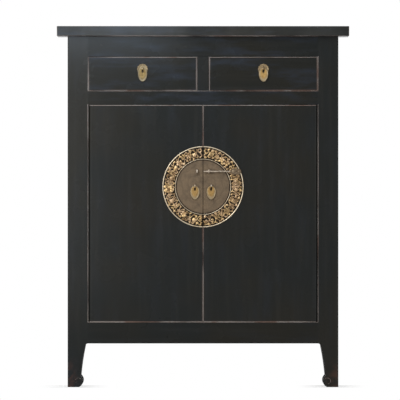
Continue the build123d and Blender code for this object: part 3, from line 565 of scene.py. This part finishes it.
def brass(name, bright, tarnish, spread, rough, scale, cast=None, dull=None, engraved=False, edge=None, dirt=None):
    """Metal whose tarnish lies in patches; spread is the stretch of noise over which bright gives way to it.

    Cast is a second colour that the bright one drifts to. The dulling is an axis, a place on it, a run and a colour
    that the piece turns to over the run: the lock pin's darker head, and painted shade on the eye's lower half. The
    rim colour goes by the piece's own "rim" attribute, and painted shade is laid round the hole. The spot is an x,
    a z and a reach: painted shade fills the hole there on both halves of the cabinet.
    """
    material, net = new_material(name)
    place = net.place()
    patches = net.noise(place, scale, 4.0, 0.6)
    specks = net.noise(place, scale * SPECKS_FINER, 2.0, 0.6)
    height = net.times(specks, 0.4)
    if cast:
        bright = net.blend(net.ramp(net.noise(place, 34.0, 2.0), 0.42, 0.58), bright, cast)
    # On the eye strap this darkening is painted shade on its lower half; on the lock pin it is the head's darker
    # metal.
    if dull:
        axis, start, run, dulling_and_shade_colour = dull
        bright = net.blend(net.ramp(net.parts(place)[axis], start, start + run), bright, dulling_and_shade_colour)
    if edge:
        from_hole = net.add("ShaderNodeAttribute", attribute_name="rim").outputs["Fac"]
        bright = net.blend(net.ramp(from_hole, 0.55, 0.85), bright, edge)
    colour = net.blend(net.ramp(net.times(specks, 0.25, patches), *spread), bright, tarnish)
    if engraved:
        colour, height = engrave(net, place, colour, height)
    # Painted shade round the leaf's hole, where the eye passes through.
    if edge:
        colour = net.blend(net.ramp(from_hole, 0.05, 0.14, 0.85, 0.0), colour, PAINTED_SHADE)
    # Painted shade darkens the plate round the pull's hole, on both halves of the cabinet.
    if dirt:
        spot_x, spot_z, spot_reach = dirt
        folded = net.vector("MULTIPLY", net.vector("ABSOLUTE", place), (1.0, 0.0, 1.0))
        away = net.far(folded, (spot_x, 0.0, spot_z))
        colour = net.blend(net.ramp(away, 0.6 * spot_reach, spot_reach, 0.93, 0.0), colour, PAINTED_SHADE)
    rough = net.ramp(patches, 0.3, 0.7, *rough)
    finish_material(net, height, BRASS_DEPTH, Base_Color=colour, Roughness=rough, Metallic=0.85)
    return material


print("specks are", SPECKS_FINER, "times finer than patches")

# %% [markdown]
# The finishes stand in a table, so that their colours can be compared. Some need a place: the hole of a pull and
# the lower half of its eye, where shade is painted in, and the start of the lock pin's head.

# %% Metal finishes
HOLE_DROP = 9.7 * MM
HOLE_REACH = 4.6 * MM
EYE_SHADE_ABOVE = 8.6 * MM
PIN_HEAD_SHARE = 0.70
DULL_SKIN = (0.130, 0.092, 0.057)
EYE_SHADE = (0.050, 0.032, 0.018)


def pull_hole(carrier):
    """The hole of a right-hand pull: x, z and a reach for the shade painted in it."""
    low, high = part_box(f"{carrier}_right_pull")
    return (low[0] + high[0]) / 2, high[2] - HOLE_DROP, HOLE_REACH


door_hole = pull_hole("door")
drawer_hole = pull_hole("drawer")
pin_low, pin_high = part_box("lock_pin")
pin_head_start = pin_low[0] + (pin_high[0] - pin_low[0]) * PIN_HEAD_SHARE
# Painted shade on the eye's lower half.
eye_painted_shade = (2, door_hole[1] + EYE_SHADE_ABOVE, -2.5 * MM, EYE_SHADE)
pin_dulls = (0, pin_head_start, 2 * MM, DULL_SKIN)

# name: bright, tarnish, spread, roughness from and to, scale of the patches, and what it has besides
HANDLED, LEAFY = ((0.5, 0.9), (0.3, 0.5), 150.0), ((0.5, 0.95), (0.32, 0.5), 120.0)
FINISHES = {
    "gilt relief": (
        (0.62, 0.43, 0.205), (0.2, 0.122, 0.056), (0.48, 0.8), (0.34, 0.55), 90.0, {"cast": (0.5, 0.345, 0.205)}
    ),
    "rubbed rim": ((0.6, 0.5, 0.36), (0.36, 0.27, 0.16), (0.5, 0.9), (0.3, 0.45), 50.0, {}),
    "rosette": ((0.235, 0.17, 0.092), (0.12, 0.08, 0.04), *HANDLED, {"dirt": drawer_hole}),
    # The left drawer's rosette and leaf: a greener tarnish, darkened besides as painted shade against the sheen
    # lamp.
    "shaded tarnished rosette": ((0.16, 0.118, 0.064), (0.09, 0.062, 0.032), *HANDLED, {"dirt": drawer_hole}),
    "strap eye": ((0.5, 0.42, 0.32), (0.3, 0.22, 0.13), (0.5, 0.9), (0.3, 0.45), 50.0, {"dull": eye_painted_shade}),
    "sooty ground": ((0.034, 0.024, 0.014), (0.008, 0.006, 0.004), (0.45, 0.8), (0.6, 0.8), 140.0, {}),
    "handled pull": ((0.275, 0.18, 0.068), (0.15, 0.095, 0.038), *LEAFY, {}),
    "beaten leaf": ((0.282, 0.172, 0.058), (0.155, 0.092, 0.035), *LEAFY, {"edge": (0.25, 0.195, 0.118)}),
    "shaded tarnished leaf": ((0.16, 0.108, 0.04), (0.1, 0.066, 0.028), *LEAFY, {"edge": (0.15, 0.122, 0.076)}),
    "dull plate": (
        DULL_SKIN, (0.084, 0.061, 0.04), (0.45, 0.95), (0.42, 0.6), 38.0, {"engraved": True, "dirt": door_hole}
    ),
    "rubbed rod": ((0.4, 0.33, 0.26), (0.2, 0.16, 0.12), (0.5, 0.95), (0.3, 0.5), 110.0, {}),
    "lock pin": ((0.4, 0.33, 0.26), (0.12, 0.09, 0.06), (0.5, 0.95), (0.3, 0.5), 110.0, {"dull": pin_dulls}),
    "pin leaf": ((0.21, 0.155, 0.095), (0.1, 0.073, 0.047), (0.5, 0.9), (0.35, 0.55), 130.0, {}),
}
metals = {name: brass(name, *values, **besides) for name, (*values, besides) in FINISHES.items()}
print("metal finishes:", ", ".join(metals))

# %% Metal on every fitting
FITTINGS = {
    "lock_disc_{}": "dull plate",
    "lock_ring_{}": "gilt relief",
    "door_{}_pull_eye": "strap eye",
    "door_{}_pull": "handled pull",
    "drawer_{}_pull_plate": "rosette",
    "drawer_{}_pull": "handled pull",
    "staple_{}": "rubbed rod",
}
for fitting, finish in FITTINGS.items():
    for hand in SIDES:
        dress(fitting.format(hand), metals[finish])
dress("lock_pin", metals["lock pin"])
print("fittings:", len(SIDES) * len(FITTINGS) + 1)

# %% [markdown]
# ## The gilt ring: ground, rims and relief
# The ring of the lock plate is cast brass, chased and gilt: a dark ground, two raised rims, and the relief. Ground
# and rims are the same idea, so one Geometry Nodes tree makes them all: half a circle, swept by a rectangle with
# rounded corners. Each half ends at the seam and rides on its own door.

# %% Tools for Geometry Nodes
def ride_piece(name, mesh, body, replaced=()):
    """Put a finished mesh in the scene as a piece of the cabinet."""
    mesh.name = name
    piece = new_object(name, mesh)
    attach(piece, body)
    if replaced:
        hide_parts(*replaced)
    print(name, len(mesh.polygons), "faces")


def plain_mesh(thing):
    """What an object makes when it is evaluated, as a mesh of its own. The object itself goes."""
    mesh = bpy.data.meshes.new_from_object(thing.evaluated_get(bpy.context.evaluated_depsgraph_get()))
    bpy.data.objects.remove(thing)
    return mesh


def grow(part, net, hand, finish, **sizes):
    """Run a tree for one half of the ring, and let its result ride on that door as a plain mesh."""
    name = f"ring_{part}_{hand}"
    sizes.update(Side=float(SIDES[hand]), Material=metals[finish])
    seed = new_object(name + "_tree", bpy.data.meshes.new(name + "_seed"))
    modifier = seed.modifiers.new("grow", "NODES")
    modifier.node_group = net.tree
    for socket in net.tree.interface.items_tree:
        if socket.in_out == "INPUT" and socket.name in sizes:
            modifier[socket.identifier] = sizes[socket.name]
    ride_piece(name, plain_mesh(seed), f"{hand}_door", (f"lock_ring_{hand}",))


def new_tree(name, sizes):
    """A Geometry Nodes tree that is given sizes and makes one geometry."""
    net, given, result = new_group(name, "GeometryNodeTree", sizes, {"Geometry": "Geometry"})
    net.tree.is_modifier = True
    return net, given, result


def sweep(net, path, section):
    """A section carried along a path, closed at both ends."""
    return net.add("GeometryNodeCurveToMesh", Curve=path, Profile_Curve=section, Fill_Caps=True)


def finish_tree(net, geometry, given, result):
    """What was drawn flat stands up in front of the doors by its lift and gets its material."""
    lifted = net.join(0.0, net.minus(front_y, given["Lift"]), plate_z)
    upright = (radians(90), 0, 0)
    standing = net.add("GeometryNodeTransform", Geometry=geometry, Translation=lifted, Rotation=upright)
    real = net.add("GeometryNodeRealizeInstances", standing)
    dressed = net.add("GeometryNodeSetMaterial", Geometry=real, Material=given["Material"])
    net.put(result, Geometry=dressed)


print("halves of the ring:", ", ".join(SIDES))

# %% Ground and rims of the ring
ARC_STEPS = 96
CORNER_STEPS = 3
SEAM_ANGLE = asin(seam_x / disc_radius)
RING_INNER = disc_radius + 0.3 * MM
BANDS = {
    # name: inner radius, outer radius, height, rounding, finish
    "ground": (RING_INNER, ring_radius - 0.5 * MM, 1.4 * MM, 0.2 * MM, "sooty ground"),
    "outer_rim": (ring_radius - 3.4 * MM, ring_radius, 3.9 * MM, 1.5 * MM, "rubbed rim"),
    "inner_rim": (RING_INNER + 0.9 * MM, RING_INNER + 2.6 * MM, 3.4 * MM, 0.8 * MM, "rubbed rim"),
}

sizes = {"Float": "Radius, Width, Height, Lift, Roundness, Start", "Material": "Material"}
band_net, given, result = new_tree("band round half a circle", sizes)
half_turn = {"Resolution": ARC_STEPS, "Start_Angle": given["Start"], "Sweep_Angle": pi - 2 * SEAM_ANGLE}
arc = band_net.add("GeometryNodeCurveArc", Radius=given["Radius"], **half_turn)
section = band_net.add("GeometryNodeCurvePrimitiveQuadrilateral", Width=given["Width"], Height=given["Height"])
corners = {"Count": CORNER_STEPS, "Radius": given["Roundness"], "Limit_Radius": True}
rounded = band_net.add("GeometryNodeFilletCurve", section, mode="POLY", **corners)
finish_tree(band_net, sweep(band_net, arc, rounded), given, result)

for hand, side in SIDES.items():
    start = -side * pi / 2 + SEAM_ANGLE
    for band_name, (inner, outer, height, roundness, finish) in BANDS.items():
        sizes = {"Radius": (inner + outer) / 2, "Width": outer - inner, "Height": height, "Lift": height / 2}
        grow(band_name, band_net, hand, finish, Roundness=roundness, Start=start, **sizes)

# %% [markdown]
# ## Motifs of the relief
# The relief is a handful of small carved shapes that come again and again. Each is made of low domes with few
# faces, because hundreds of copies follow. A dome's outline gives a point for every angle, and the dome rises from
# it like a cushion.

# %% Domes and outlines
DOME_LEVELS = ((1.0, -0.35), (1.0, 0.1), (0.93, 0.72), (0.60, 1.0))


def skin(mesh, rings):
    """Faces between each ring of points and the next."""
    for lower, upper in zip(rings, rings[1:]):
        for step in range(len(lower)):
            after = (step + 1) % len(lower)
            mesh.faces.new((lower[step], lower[after], upper[after], upper[step]))


def dome(mesh, outline, sides, height, centre=(0.0, 0.0), turn=0.0):
    """A closed low dome: outline(angle) is its edge, centre and turn place it in the motif."""
    cosine, sine = cos(turn), sin(turn)
    rings = []
    for share, rise in DOME_LEVELS:
        rings.append([])
        for step in range(sides):
            x, y = outline(2 * pi * step / sides)
            x, y = x * share, y * share
            place = (centre[0] + x * cosine - y * sine, centre[1] + x * sine + y * cosine, rise * height)
            rings[-1].append(mesh.verts.new(place))
    skin(mesh, rings)
    mesh.faces.new(rings[-1])
    mesh.faces.new(rings[0][::-1])


def carve(domes):
    """A mesh of domes, each given as outline, sides, height and, if need be, centre and turn."""
    mesh = bmesh.new()
    for shape in domes:
        dome(mesh, *shape)
    return mesh


def smooth_mesh(mesh, finish=None):
    """The drawn mesh as smooth data, in a finish."""
    bmesh.ops.recalc_face_normals(mesh, faces=mesh.faces)
    data = bpy.data.meshes.new("drawn")
    mesh.to_mesh(data)
    mesh.free()
    data.shade_smooth()
    if finish:
        data.materials.append(finish)
    return data


def oval(width, length, point=0.0):
    """Outline of an oval along Y; with point above 0 its far end draws to a tip."""

    def outline(angle):
        narrow = 1 - point * max(0.0, sin(angle))
        return cos(angle) * width / 2 * narrow, sin(angle) * length / 2

    return outline


def scallop(radius, lobes, depth):
    """Outline of a round with lobes."""

    def outline(angle):
        reach = radius * (1 - depth + depth * abs(cos(lobes * angle / 2)))
        return cos(angle) * reach, sin(angle) * reach

    return outline


print("rings of points in a dome:", len(DOME_LEVELS))

# %% Motif shapes, in millimetres
PETALS = 5


def leaning(outline, sides, height, reach, lean):
    """A dome that leans by an angle, with its middle so far out along its own length."""
    return outline, sides, height, (-reach * sin(lean), reach * cos(lean)), lean


def curl(step):
    """One of the shrinking domes that follow a spiral."""
    angle = step * 0.62
    reach = 4.4 - 0.42 * step
    return oval(2.1, 3.3), 6, 1.3 + 0.08 * step, (reach * cos(angle), reach * sin(angle)), angle


MOTIFS = {
    "a_blossom": [
        *(leaning(oval(5.4, 6.4), 8, 1.7, 4.6, 2 * pi * petal / PETALS) for petal in range(PETALS)),
        (oval(3.6, 3.6), 8, 2.4),
    ],
    "b_scroll": [*(curl(step) for step in range(9)), (oval(2.0, 2.0), 6, 2.2)],
    "c_leaf_pair": [leaning(oval(3.6, 9.0, 0.75), 10, 1.6, 3.4, lean) for lean in (-0.6, 0.6)],
    "d_fence": [
        *((oval(1.5, 11.0), 8, 1.5, (place, 0.0)) for place in (-3.6, -1.2, 1.2, 3.6)),
        (oval(9.4, 1.5), 8, 1.7, (0.0, -3.0)),
    ],
    "e_cloud": [(scallop(4.8, 5, 0.34), 20, 1.6), (oval(2.6, 2.6), 8, 2.1)],
    "f_leaf": [(oval(4.2, 11.0, 0.75), 12, 1.5), (oval(0.9, 9.0, 0.5), 6, 1.9)],
    "g_bud": [
        (oval(4.4, 5.2, 0.3), 8, 1.8),
        *((oval(2.2, 3.4, 0.6), 6, 1.5, (2.5 * side, -2.2), -0.9 * side) for side in (1, -1)),
    ],
    # The balustrade of a pavilion: tall slats close together under a rail.
    "h_slats": [
        *((oval(1.4, 13.0), 8, 1.6, (place, 0.0)) for place in (-4.8, -2.4, 0.0, 2.4, 4.8)),
        (oval(12.4, 1.4), 8, 1.8, (0.0, 4.6)),
    ],
    # A bar that crosses the band, with a knot near each end.
    "i_bar": [(oval(2.6, 26.0), 12, 2.82), *((oval(4.2, 2.2), 8, 2.95, (0.0, place)) for place in (-8.6, 8.6))],
}


def motif_collection(name, motif_names):
    """A collection of motif meshes in metres, kept out of the picture, for a tree to pick from."""
    collection = bpy.data.collections.new(name)
    for motif_name in motif_names:
        mesh = carve(MOTIFS[motif_name])
        bmesh.ops.scale(mesh, vec=(MM, MM, MM), verts=mesh.verts)
        collection.objects.link(bpy.data.objects.new(f"{name}_{motif_name}", smooth_mesh(mesh)))
    return collection


large = motif_collection("large", ("a_blossom", "b_scroll", "c_leaf_pair", "d_fence", "e_cloud", "h_slats"))
small = motif_collection("small", ("c_leaf_pair", "e_cloud", "f_leaf", "g_bud"))
bars = motif_collection("bars", ("i_bar",))
print("motifs drawn:", len(MOTIFS))

# %% [markdown]
# ## Rows of relief
# A tree sets the motifs out in rows round each half of the ring. From each point's number it works out an angle, a
# radius with a little scatter, and a turn that keeps the motif upright. Random Value picks the motif, its size and
# its lean; the seed is fixed, so the casting comes out the same each time.

# %% Relief tree
def angle_at(net, given, share):
    """The angle from the plate's top at a share of the way round one half, with a margin at the seam."""
    turn = net.times(given["Margin"], -2.0, pi)
    return net.times(share, turn, given["Margin"])


def points_round(net, given, count, angle, reach):
    """A row of points at these angles and radii, on the right or the left half."""
    line = net.add("GeometryNodeMeshLine", Count=count)
    across = net.times(net.times(net.math("SINE", angle), reach), given["Side"])
    place = net.join(across, net.times(net.math("COSINE", angle), reach), 0.0)
    return net.add("GeometryNodeSetPosition", Geometry=line, Position=place)


def draw_lots(net, given, kind, low, high, draw):
    """A random number for each point. The draw's number sets it apart."""
    first, output = {"FLOAT": (2, 1), "INT": (4, 2)}[kind]
    lots = {"data_type": kind, "Seed": net.math("ADD", given["Seed"], draw)}
    return net.add("FunctionNodeRandomValue", *[None] * first, low, high, **lots).outputs[output]


sizes = {"Float": "Radius, Scatter, Smallest, Largest, Lean, Side, Margin, Lift", "Int": "Kinds, Count, Seed"}
relief, given, result = new_tree("row of relief", {"Collection": "Motifs", "Material": "Material", **sizes})
number = relief.add("GeometryNodeInputIndex")
step_share = relief.math("DIVIDE", relief.math("ADD", number, 0.5), given["Count"])
angle = angle_at(relief, given, step_share)
scatter = draw_lots(relief, given, "FLOAT", -1.0, 1.0, 1.0)
reach = relief.times(scatter, given["Scatter"], given["Radius"])
picked = relief.add("GeometryNodeCollectionInfo", given["Motifs"], Separate_Children=True, Reset_Children=True)
kind = draw_lots(relief, given, "INT", 0, relief.minus(given["Kinds"], 1.0), 2.0)
size = draw_lots(relief, given, "FLOAT", given["Smallest"], given["Largest"], 3.0)
lean = relief.times(draw_lots(relief, given, "FLOAT", -1.0, 1.0, 4.0), given["Lean"])
turn = relief.minus(lean, relief.times(angle, given["Side"]))
points = points_round(relief, given, given["Count"], angle, reach)
copies = relief.add("GeometryNodeInstanceOnPoints", Points=points, Instance=picked, Scale=size)
relief.put(copies, Pick_Instance=True, Instance_Index=kind, Rotation=relief.join(0.0, 0.0, turn))
finish_tree(relief, copies, given, result)
print("relief tree has", len(relief.tree.nodes), "nodes")

# %% Grow the rows
RELIEF_LIFT = 1.3 * MM
SEED_STEP = 13
ROW_SIZES = ("Motifs", "Count", "Radius", "Scatter", "Smallest", "Largest", "Lean", "Margin")
ROWS = {
    "middle": (large, 18, 111.5 * MM, 3.0 * MM, 1.35, 1.75, 0.35, 0.004),
    "outer": (small, 31, 125.0 * MM, 1.6 * MM, 0.95, 1.25, 1.6, 0.012),
    "inner": (small, 25, 98.6 * MM, 1.4 * MM, 0.9, 1.15, 1.6, 0.010),
    "fill": (small, 29, 113.0 * MM, 9.0 * MM, 0.7, 0.95, 3.1, 0.014),
    "bars": (bars, 15, 111.5 * MM, 0.0, 1.0, 1.0, 0.04, 0.98),
}

for hand, side in SIDES.items():
    for row_number, (row_name, row) in enumerate(ROWS.items(), 1):
        sizes = {**dict(zip(ROW_SIZES, row)), "Kinds": len(row[0].objects), "Lift": RELIEF_LIFT}
        grow(f"relief_{row_name}", relief, hand, "gilt relief", Seed=SEED_STEP * row_number + side, **sizes)

for collection in (large, small, bars):
    for motif in list(collection.objects):
        bpy.data.objects.remove(motif)
    bpy.data.collections.remove(collection)

# %% [markdown]
# ## Stems that tie the relief together
# A cast relief can't have loose flowers: everything hangs on a winding stem. Two stems swing in and out between the
# rims in opposite waves. The tree bends a line of points into the wave and sweeps a small round section along it.

# %% Winding stems
STEM_SIDES = 6
STEM_SIZES = {
    "Radius": 112.0 * MM,
    "Swing": 14.0 * MM,
    "Waves": 16.0,
    "Thickness": 1.1 * MM,
    "Margin": radians(1.6),
    "Lift": 2.0 * MM,
    "Points": 240,
}

sizes = {"Float": "Radius, Swing, Waves, Phase, Thickness, Side, Margin, Lift", "Int": "Points"}
stems, given, result = new_tree("winding stem", {"Material": "Material", **sizes})
number = stems.add("GeometryNodeInputIndex")
step_share = stems.math("DIVIDE", number, stems.minus(given["Points"], 1.0))
angle = angle_at(stems, given, step_share)
wave = stems.math("SINE", stems.times(angle, given["Waves"], given["Phase"]))
reach = stems.times(wave, given["Swing"], given["Radius"])
path = stems.add("GeometryNodeMeshToCurve", points_round(stems, given, given["Points"], angle, reach))
section = stems.add("GeometryNodeCurvePrimitiveCircle", Resolution=STEM_SIDES, Radius=given["Thickness"])
finish_tree(stems, sweep(stems, path, section), given, result)

for hand in SIDES:
    for stem_name, phase in {"one": 0.0, "two": pi}.items():
        grow(f"stem_{stem_name}", stems, hand, "gilt relief", Phase=phase, **STEM_SIZES)

# %% [markdown]
# ## Scrolls on the hoof feet
# The moulding that runs down a leg rolls up in the toe of its hoof foot and ends in an eye. The path is a spiral
# with a stem up the leg, swept by a low round section that sits half sunk in the post. Its crest stands proud and
# wears first, and its pale line is also a painted highlight where the crest catches the light, so the lacquer group
# is told how far each point lies behind the crest.

# %% Hoof scrolls
SCROLL_EYE = (0.4150, 0.0190)
SCROLL_REACH = 12.0 * MM
SCROLL_TURNS = 1.35
SCROLL_END = radians(145)
SCROLL_STEM = ((0.4075, 0.036), (0.4098, 0.056), (0.4080, 0.082))
SCROLL_SECTION = 1.3 * MM
SCROLL_STEPS = 44
SCROLL_WEAR_AND_HIGHLIGHT = 0.14

carving, net = new_material("lacquered scroll")
behind_crest = net.minus(net.parts(net.place())[1], front_y - SCROLL_SECTION)
worn = net.group(coats, Arris=behind_crest, Grain=GRAIN_RUN["z"], Wear=SCROLL_WEAR_AND_HIGHLIGHT)
finish_material(net, Base_Color=worn["Colour"], Roughness=worn["Roughness"], Specular_IOR_Level=0.15)


def scroll_path(side):
    """Points of the scroll from its eye to the stem's end, each with the section's radius there."""
    points = []
    for step in range(SCROLL_STEPS + 1):
        share = step / SCROLL_STEPS
        angle = 2 * pi * SCROLL_TURNS * (share - 1) + SCROLL_END
        reach = SCROLL_REACH * (0.22 + 0.78 * share)
        x, z = SCROLL_EYE[0] + reach * cos(angle), SCROLL_EYE[1] + reach * sin(angle)
        points.append((side * x, z, SCROLL_SECTION * (0.75 + 0.25 * share)))
    for step, (x, z) in enumerate(SCROLL_STEM):
        points.append((side * x, z, SCROLL_SECTION * (0.85 - 0.28 * step)))
    return points


for hand, side in SIDES.items():
    curve = bpy.data.curves.new("scroll", "CURVE")
    curve.dimensions = "3D"
    curve.bevel_depth, curve.bevel_resolution, curve.use_fill_caps = 1.0, 2, True
    spline = curve.splines.new("POLY")
    path_points = scroll_path(side)
    spline.points.add(len(path_points) - 1)
    for point, (x, z, thickness) in zip(spline.points, path_points):
        point.co = (x, front_y, z, 1)
        point.radius = thickness
    mesh = plain_mesh(new_object("scroll", curve))
    mesh.materials.clear()
    mesh.materials.append(carving)
    mesh.shade_smooth()
    ride_piece(f"hoof_scroll_{hand}", mesh, "carcass")

# %% [markdown]
# ## Hanging leaves
# Each pull is an egg-shaped leaf of sheet brass, crowned a little inside a raised rim, with a hole for the eye bolt
# near its head. The mesh is a ring of quads from the hole to the outline, front and back, so that the leaf closes
# on itself with no cutting.

# %% Shape of a leaf, in millimetres
LEAF_WIDEST = (15.5, -17.5)
LEAF_TOP = 2.2
LEAF_TIP = -44.0
LEAF_DRAWN_IN = 1.15
SHEET, CROWN = 1.2, 0.55
RIM_PLACE, RIM_SPREAD, RIM_RISE = 0.93, 0.055, 0.55
LIP_SPREAD, LIP_RISE = 0.08, 0.35
EDGE_PLACE, EDGE_RUN, EDGE_DROP = 0.97, 0.03, 0.5
ENGRAVED = 0.16


def leaf_edge(angle):
    """The leaf's outline at an angle from its head, from the axis it hangs on."""
    widest_x, widest_z = LEAF_WIDEST
    across, upward = sin(angle), cos(angle)
    if upward >= 0:
        return widest_x * across, widest_z + (LEAF_TOP - widest_z) * upward
    return copysign(widest_x * abs(across) ** LEAF_DRAWN_IN, across), widest_z + (widest_z - LEAF_TIP) * upward


def leaf_height(share, x, y, marks):
    """Height of the leaf's front above its back plane, at a share of the way from hole to edge."""
    crown = SHEET + CROWN * sin(pi * share)
    rim = RIM_RISE * exp(-(((share - RIM_PLACE) / RIM_SPREAD) ** 2))
    lip = LIP_RISE * exp(-((share / LIP_SPREAD) ** 2))
    engraved = marks(x, y) if share < RIM_PLACE - 2 * RIM_SPREAD else 0.0
    return crown + rim + lip + engraved - EDGE_DROP * max(0.0, (share - EDGE_PLACE) / EDGE_RUN)


def arcs(x, y):
    """Rows of shallow scales, engraved across the leaf."""
    return ENGRAVED * cos(2 * pi * (y + 0.06 * x * x) / 4.4)


def ridges(x, y):
    """Shallow upright ridges from head to tip."""
    return ENGRAVED * cos(2 * pi * x / 3.6)


print("leaf is", LEAF_TOP - LEAF_TIP, "mm long and", 2 * LEAF_WIDEST[0], "mm wide")

# %% Leaf pulls
LEAF_AROUND = 96
LEAF_RINGS = 30
LEAF_HOLE_DROP = 7.5 * MM
LEAF_HOLE = (2.8 * MM, 4.5 * MM)


def leaf_pull(carrier, hand, marks, finish):
    """A leaf on a door or a drawer, in the box of the plain pull that it replaces."""
    name, replaced = f"{carrier}_leaf_{hand}", f"{carrier}_{hand}_pull"
    low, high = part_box(replaced)
    middle_x = (low[0] + high[0]) / 2
    back_y = high[1]
    axis_z = high[2] - LEAF_TOP * MM
    hole_z = axis_z - LEAF_HOLE_DROP
    mesh = bmesh.new()
    rim_layer = mesh.verts.layers.float.new("rim")
    columns = []
    for turn in range(LEAF_AROUND):
        edge_x, edge_z = leaf_edge(2 * pi * turn / LEAF_AROUND)
        edge_x, edge_z = edge_x * MM, axis_z + edge_z * MM
        bearing = atan2(edge_x, edge_z - hole_z)
        inner_x, inner_z = LEAF_HOLE[0] * sin(bearing), hole_z + LEAF_HOLE[1] * cos(bearing)
        column = []
        for ring in range(LEAF_RINGS + 1):
            share = ring / LEAF_RINGS
            x = inner_x + (edge_x - inner_x) * share
            z = inner_z + (edge_z - inner_z) * share
            height = leaf_height(share, x / MM, (z - hole_z) / MM, marks) * MM
            vertex = mesh.verts.new((middle_x + x, back_y - height, z))
            vertex[rim_layer] = share
            column.append(vertex)
        for x, z in ((edge_x, edge_z), (inner_x, inner_z)):
            column.append(mesh.verts.new((middle_x + x, back_y, z)))
        columns.append(column)
    skin(mesh, columns + columns[:1])
    ride_piece(name, smooth_mesh(mesh, finish), f"{hand}_{carrier}_pull", (replaced,))


for hand in SIDES:
    # The left drawer's pull is darker than the others: a greener tarnish, with painted shade that holds back the
    # light of the sheen lamp close by.
    drawer_finish = "shaded tarnished leaf" if hand == "left" else "beaten leaf"
    leaf_pull("door", hand, arcs, metals["beaten leaf"])
    leaf_pull("drawer", hand, ridges, metals[drawer_finish])

# %% [markdown]
# ## Rosettes behind the drawer pulls
# The plate behind each drawer pull is a small flower: a dished round of sheet brass with a lobed edge. It lies over
# the plain plate and leaves a hole for the shank of the eye.

# %% Rosettes
ROSETTE_LOBES = 12
ROSETTE_AROUND = 144
ROSETTE_LOBE_DEPTH = 0.12
ROSETTE_CREASE = 0.35
# Share of the radius and height in millimetres, from the hole out to the rim and back to the wood.
ROSETTE_PROFILE = (
    (0.2, 0.0), (0.2, 2.4), (0.34, 2.6), (0.5, 2.1), (0.72, 2.0), (0.86, 2.5), (0.95, 2.7), (1.0, 2.0), (1.0, 0.0)
)


def rosette(hand, finish):
    name = f"drawer_rosette_{hand}"
    low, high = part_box(f"drawer_{hand}_pull_plate")
    middle_x = (low[0] + high[0]) / 2
    radius = (high[0] - low[0]) / 2
    middle_z = low[2] + radius
    mesh = bmesh.new()
    columns = []
    for turn in range(ROSETTE_AROUND):
        angle = 2 * pi * turn / ROSETTE_AROUND
        swell = abs(cos(ROSETTE_LOBES * angle / 2))
        lobe = 1 - ROSETTE_LOBE_DEPTH + ROSETTE_LOBE_DEPTH * sqrt(swell)
        column = []
        for share, height in ROSETTE_PROFILE:
            reach = radius * share * (1 + (lobe - 1) * share)
            y = front_y - (height + (ROSETTE_CREASE * share * swell if height else 0.0)) * MM
            x, z = middle_x + reach * sin(angle), middle_z + reach * cos(angle)
            column.append(mesh.verts.new((x, y, z)))
        columns.append(column)
    skin(mesh, columns + columns[:1])
    ride_piece(name, smooth_mesh(mesh, finish), f"{hand}_drawer")


# The left rosette is darker: tarnish and painted shade in one.
rosette("left", metals["shaded tarnished rosette"])
rosette("right", metals["rosette"])

# %% [markdown]
# ## Leaf on the lock pin's head
# The flat head by which the pin is pulled is finished as a small leaf, with a midrib, side leaves, and a collar
# where rod and head meet. Its domes are laid on the head's front and ride on the pin.

# %% Pin head
PIN_HEAD_HALF = 1.5 * MM
ALONG = -pi / 2
PIN_LEAF = [
    # The leaf and its midrib, two side leaves, two lobes behind them, the tip and the collar.
    (oval(12.0, 15.0, 0.4), 24, 1.1, (13.4, 0.0), ALONG),
    (oval(1.2, 13.0, 0.4), 8, 1.8, (13.4, 0.0), ALONG),
    *((oval(3.0, 8.5, 0.6), 10, 1.6, (11.6, 3.0 * up), ALONG + 0.3 * up) for up in (1, -1)),
    *((oval(3.2, 11.0, 0.6), 10, 1.2, (21.5, 5.6 * up), ALONG - 0.25 * up) for up in (1, -1)),
    (oval(5.0, 8.0, 0.6), 12, 1.3, (31.0, 0.0), ALONG),
    (oval(3.0, 9.0), 14, 1.9, (2.4, 0.0)),
]

head_front = (pin_low[1] + pin_high[1]) / 2 - PIN_HEAD_HALF
pin_axis_z = (pin_low[2] + pin_high[2]) / 2
mesh = carve(PIN_LEAF)
for vertex in mesh.verts:
    x, y, z = vertex.co
    vertex.co = (pin_head_start + x * MM, head_front - z * MM, pin_axis_z + y * MM)
ride_piece("lock_pin_leaf", smooth_mesh(mesh, metals["pin leaf"]), "lock_pin")

# %% [markdown]
# ## Close the lesson
# The dressed cabinet must fill the same box as the frame.
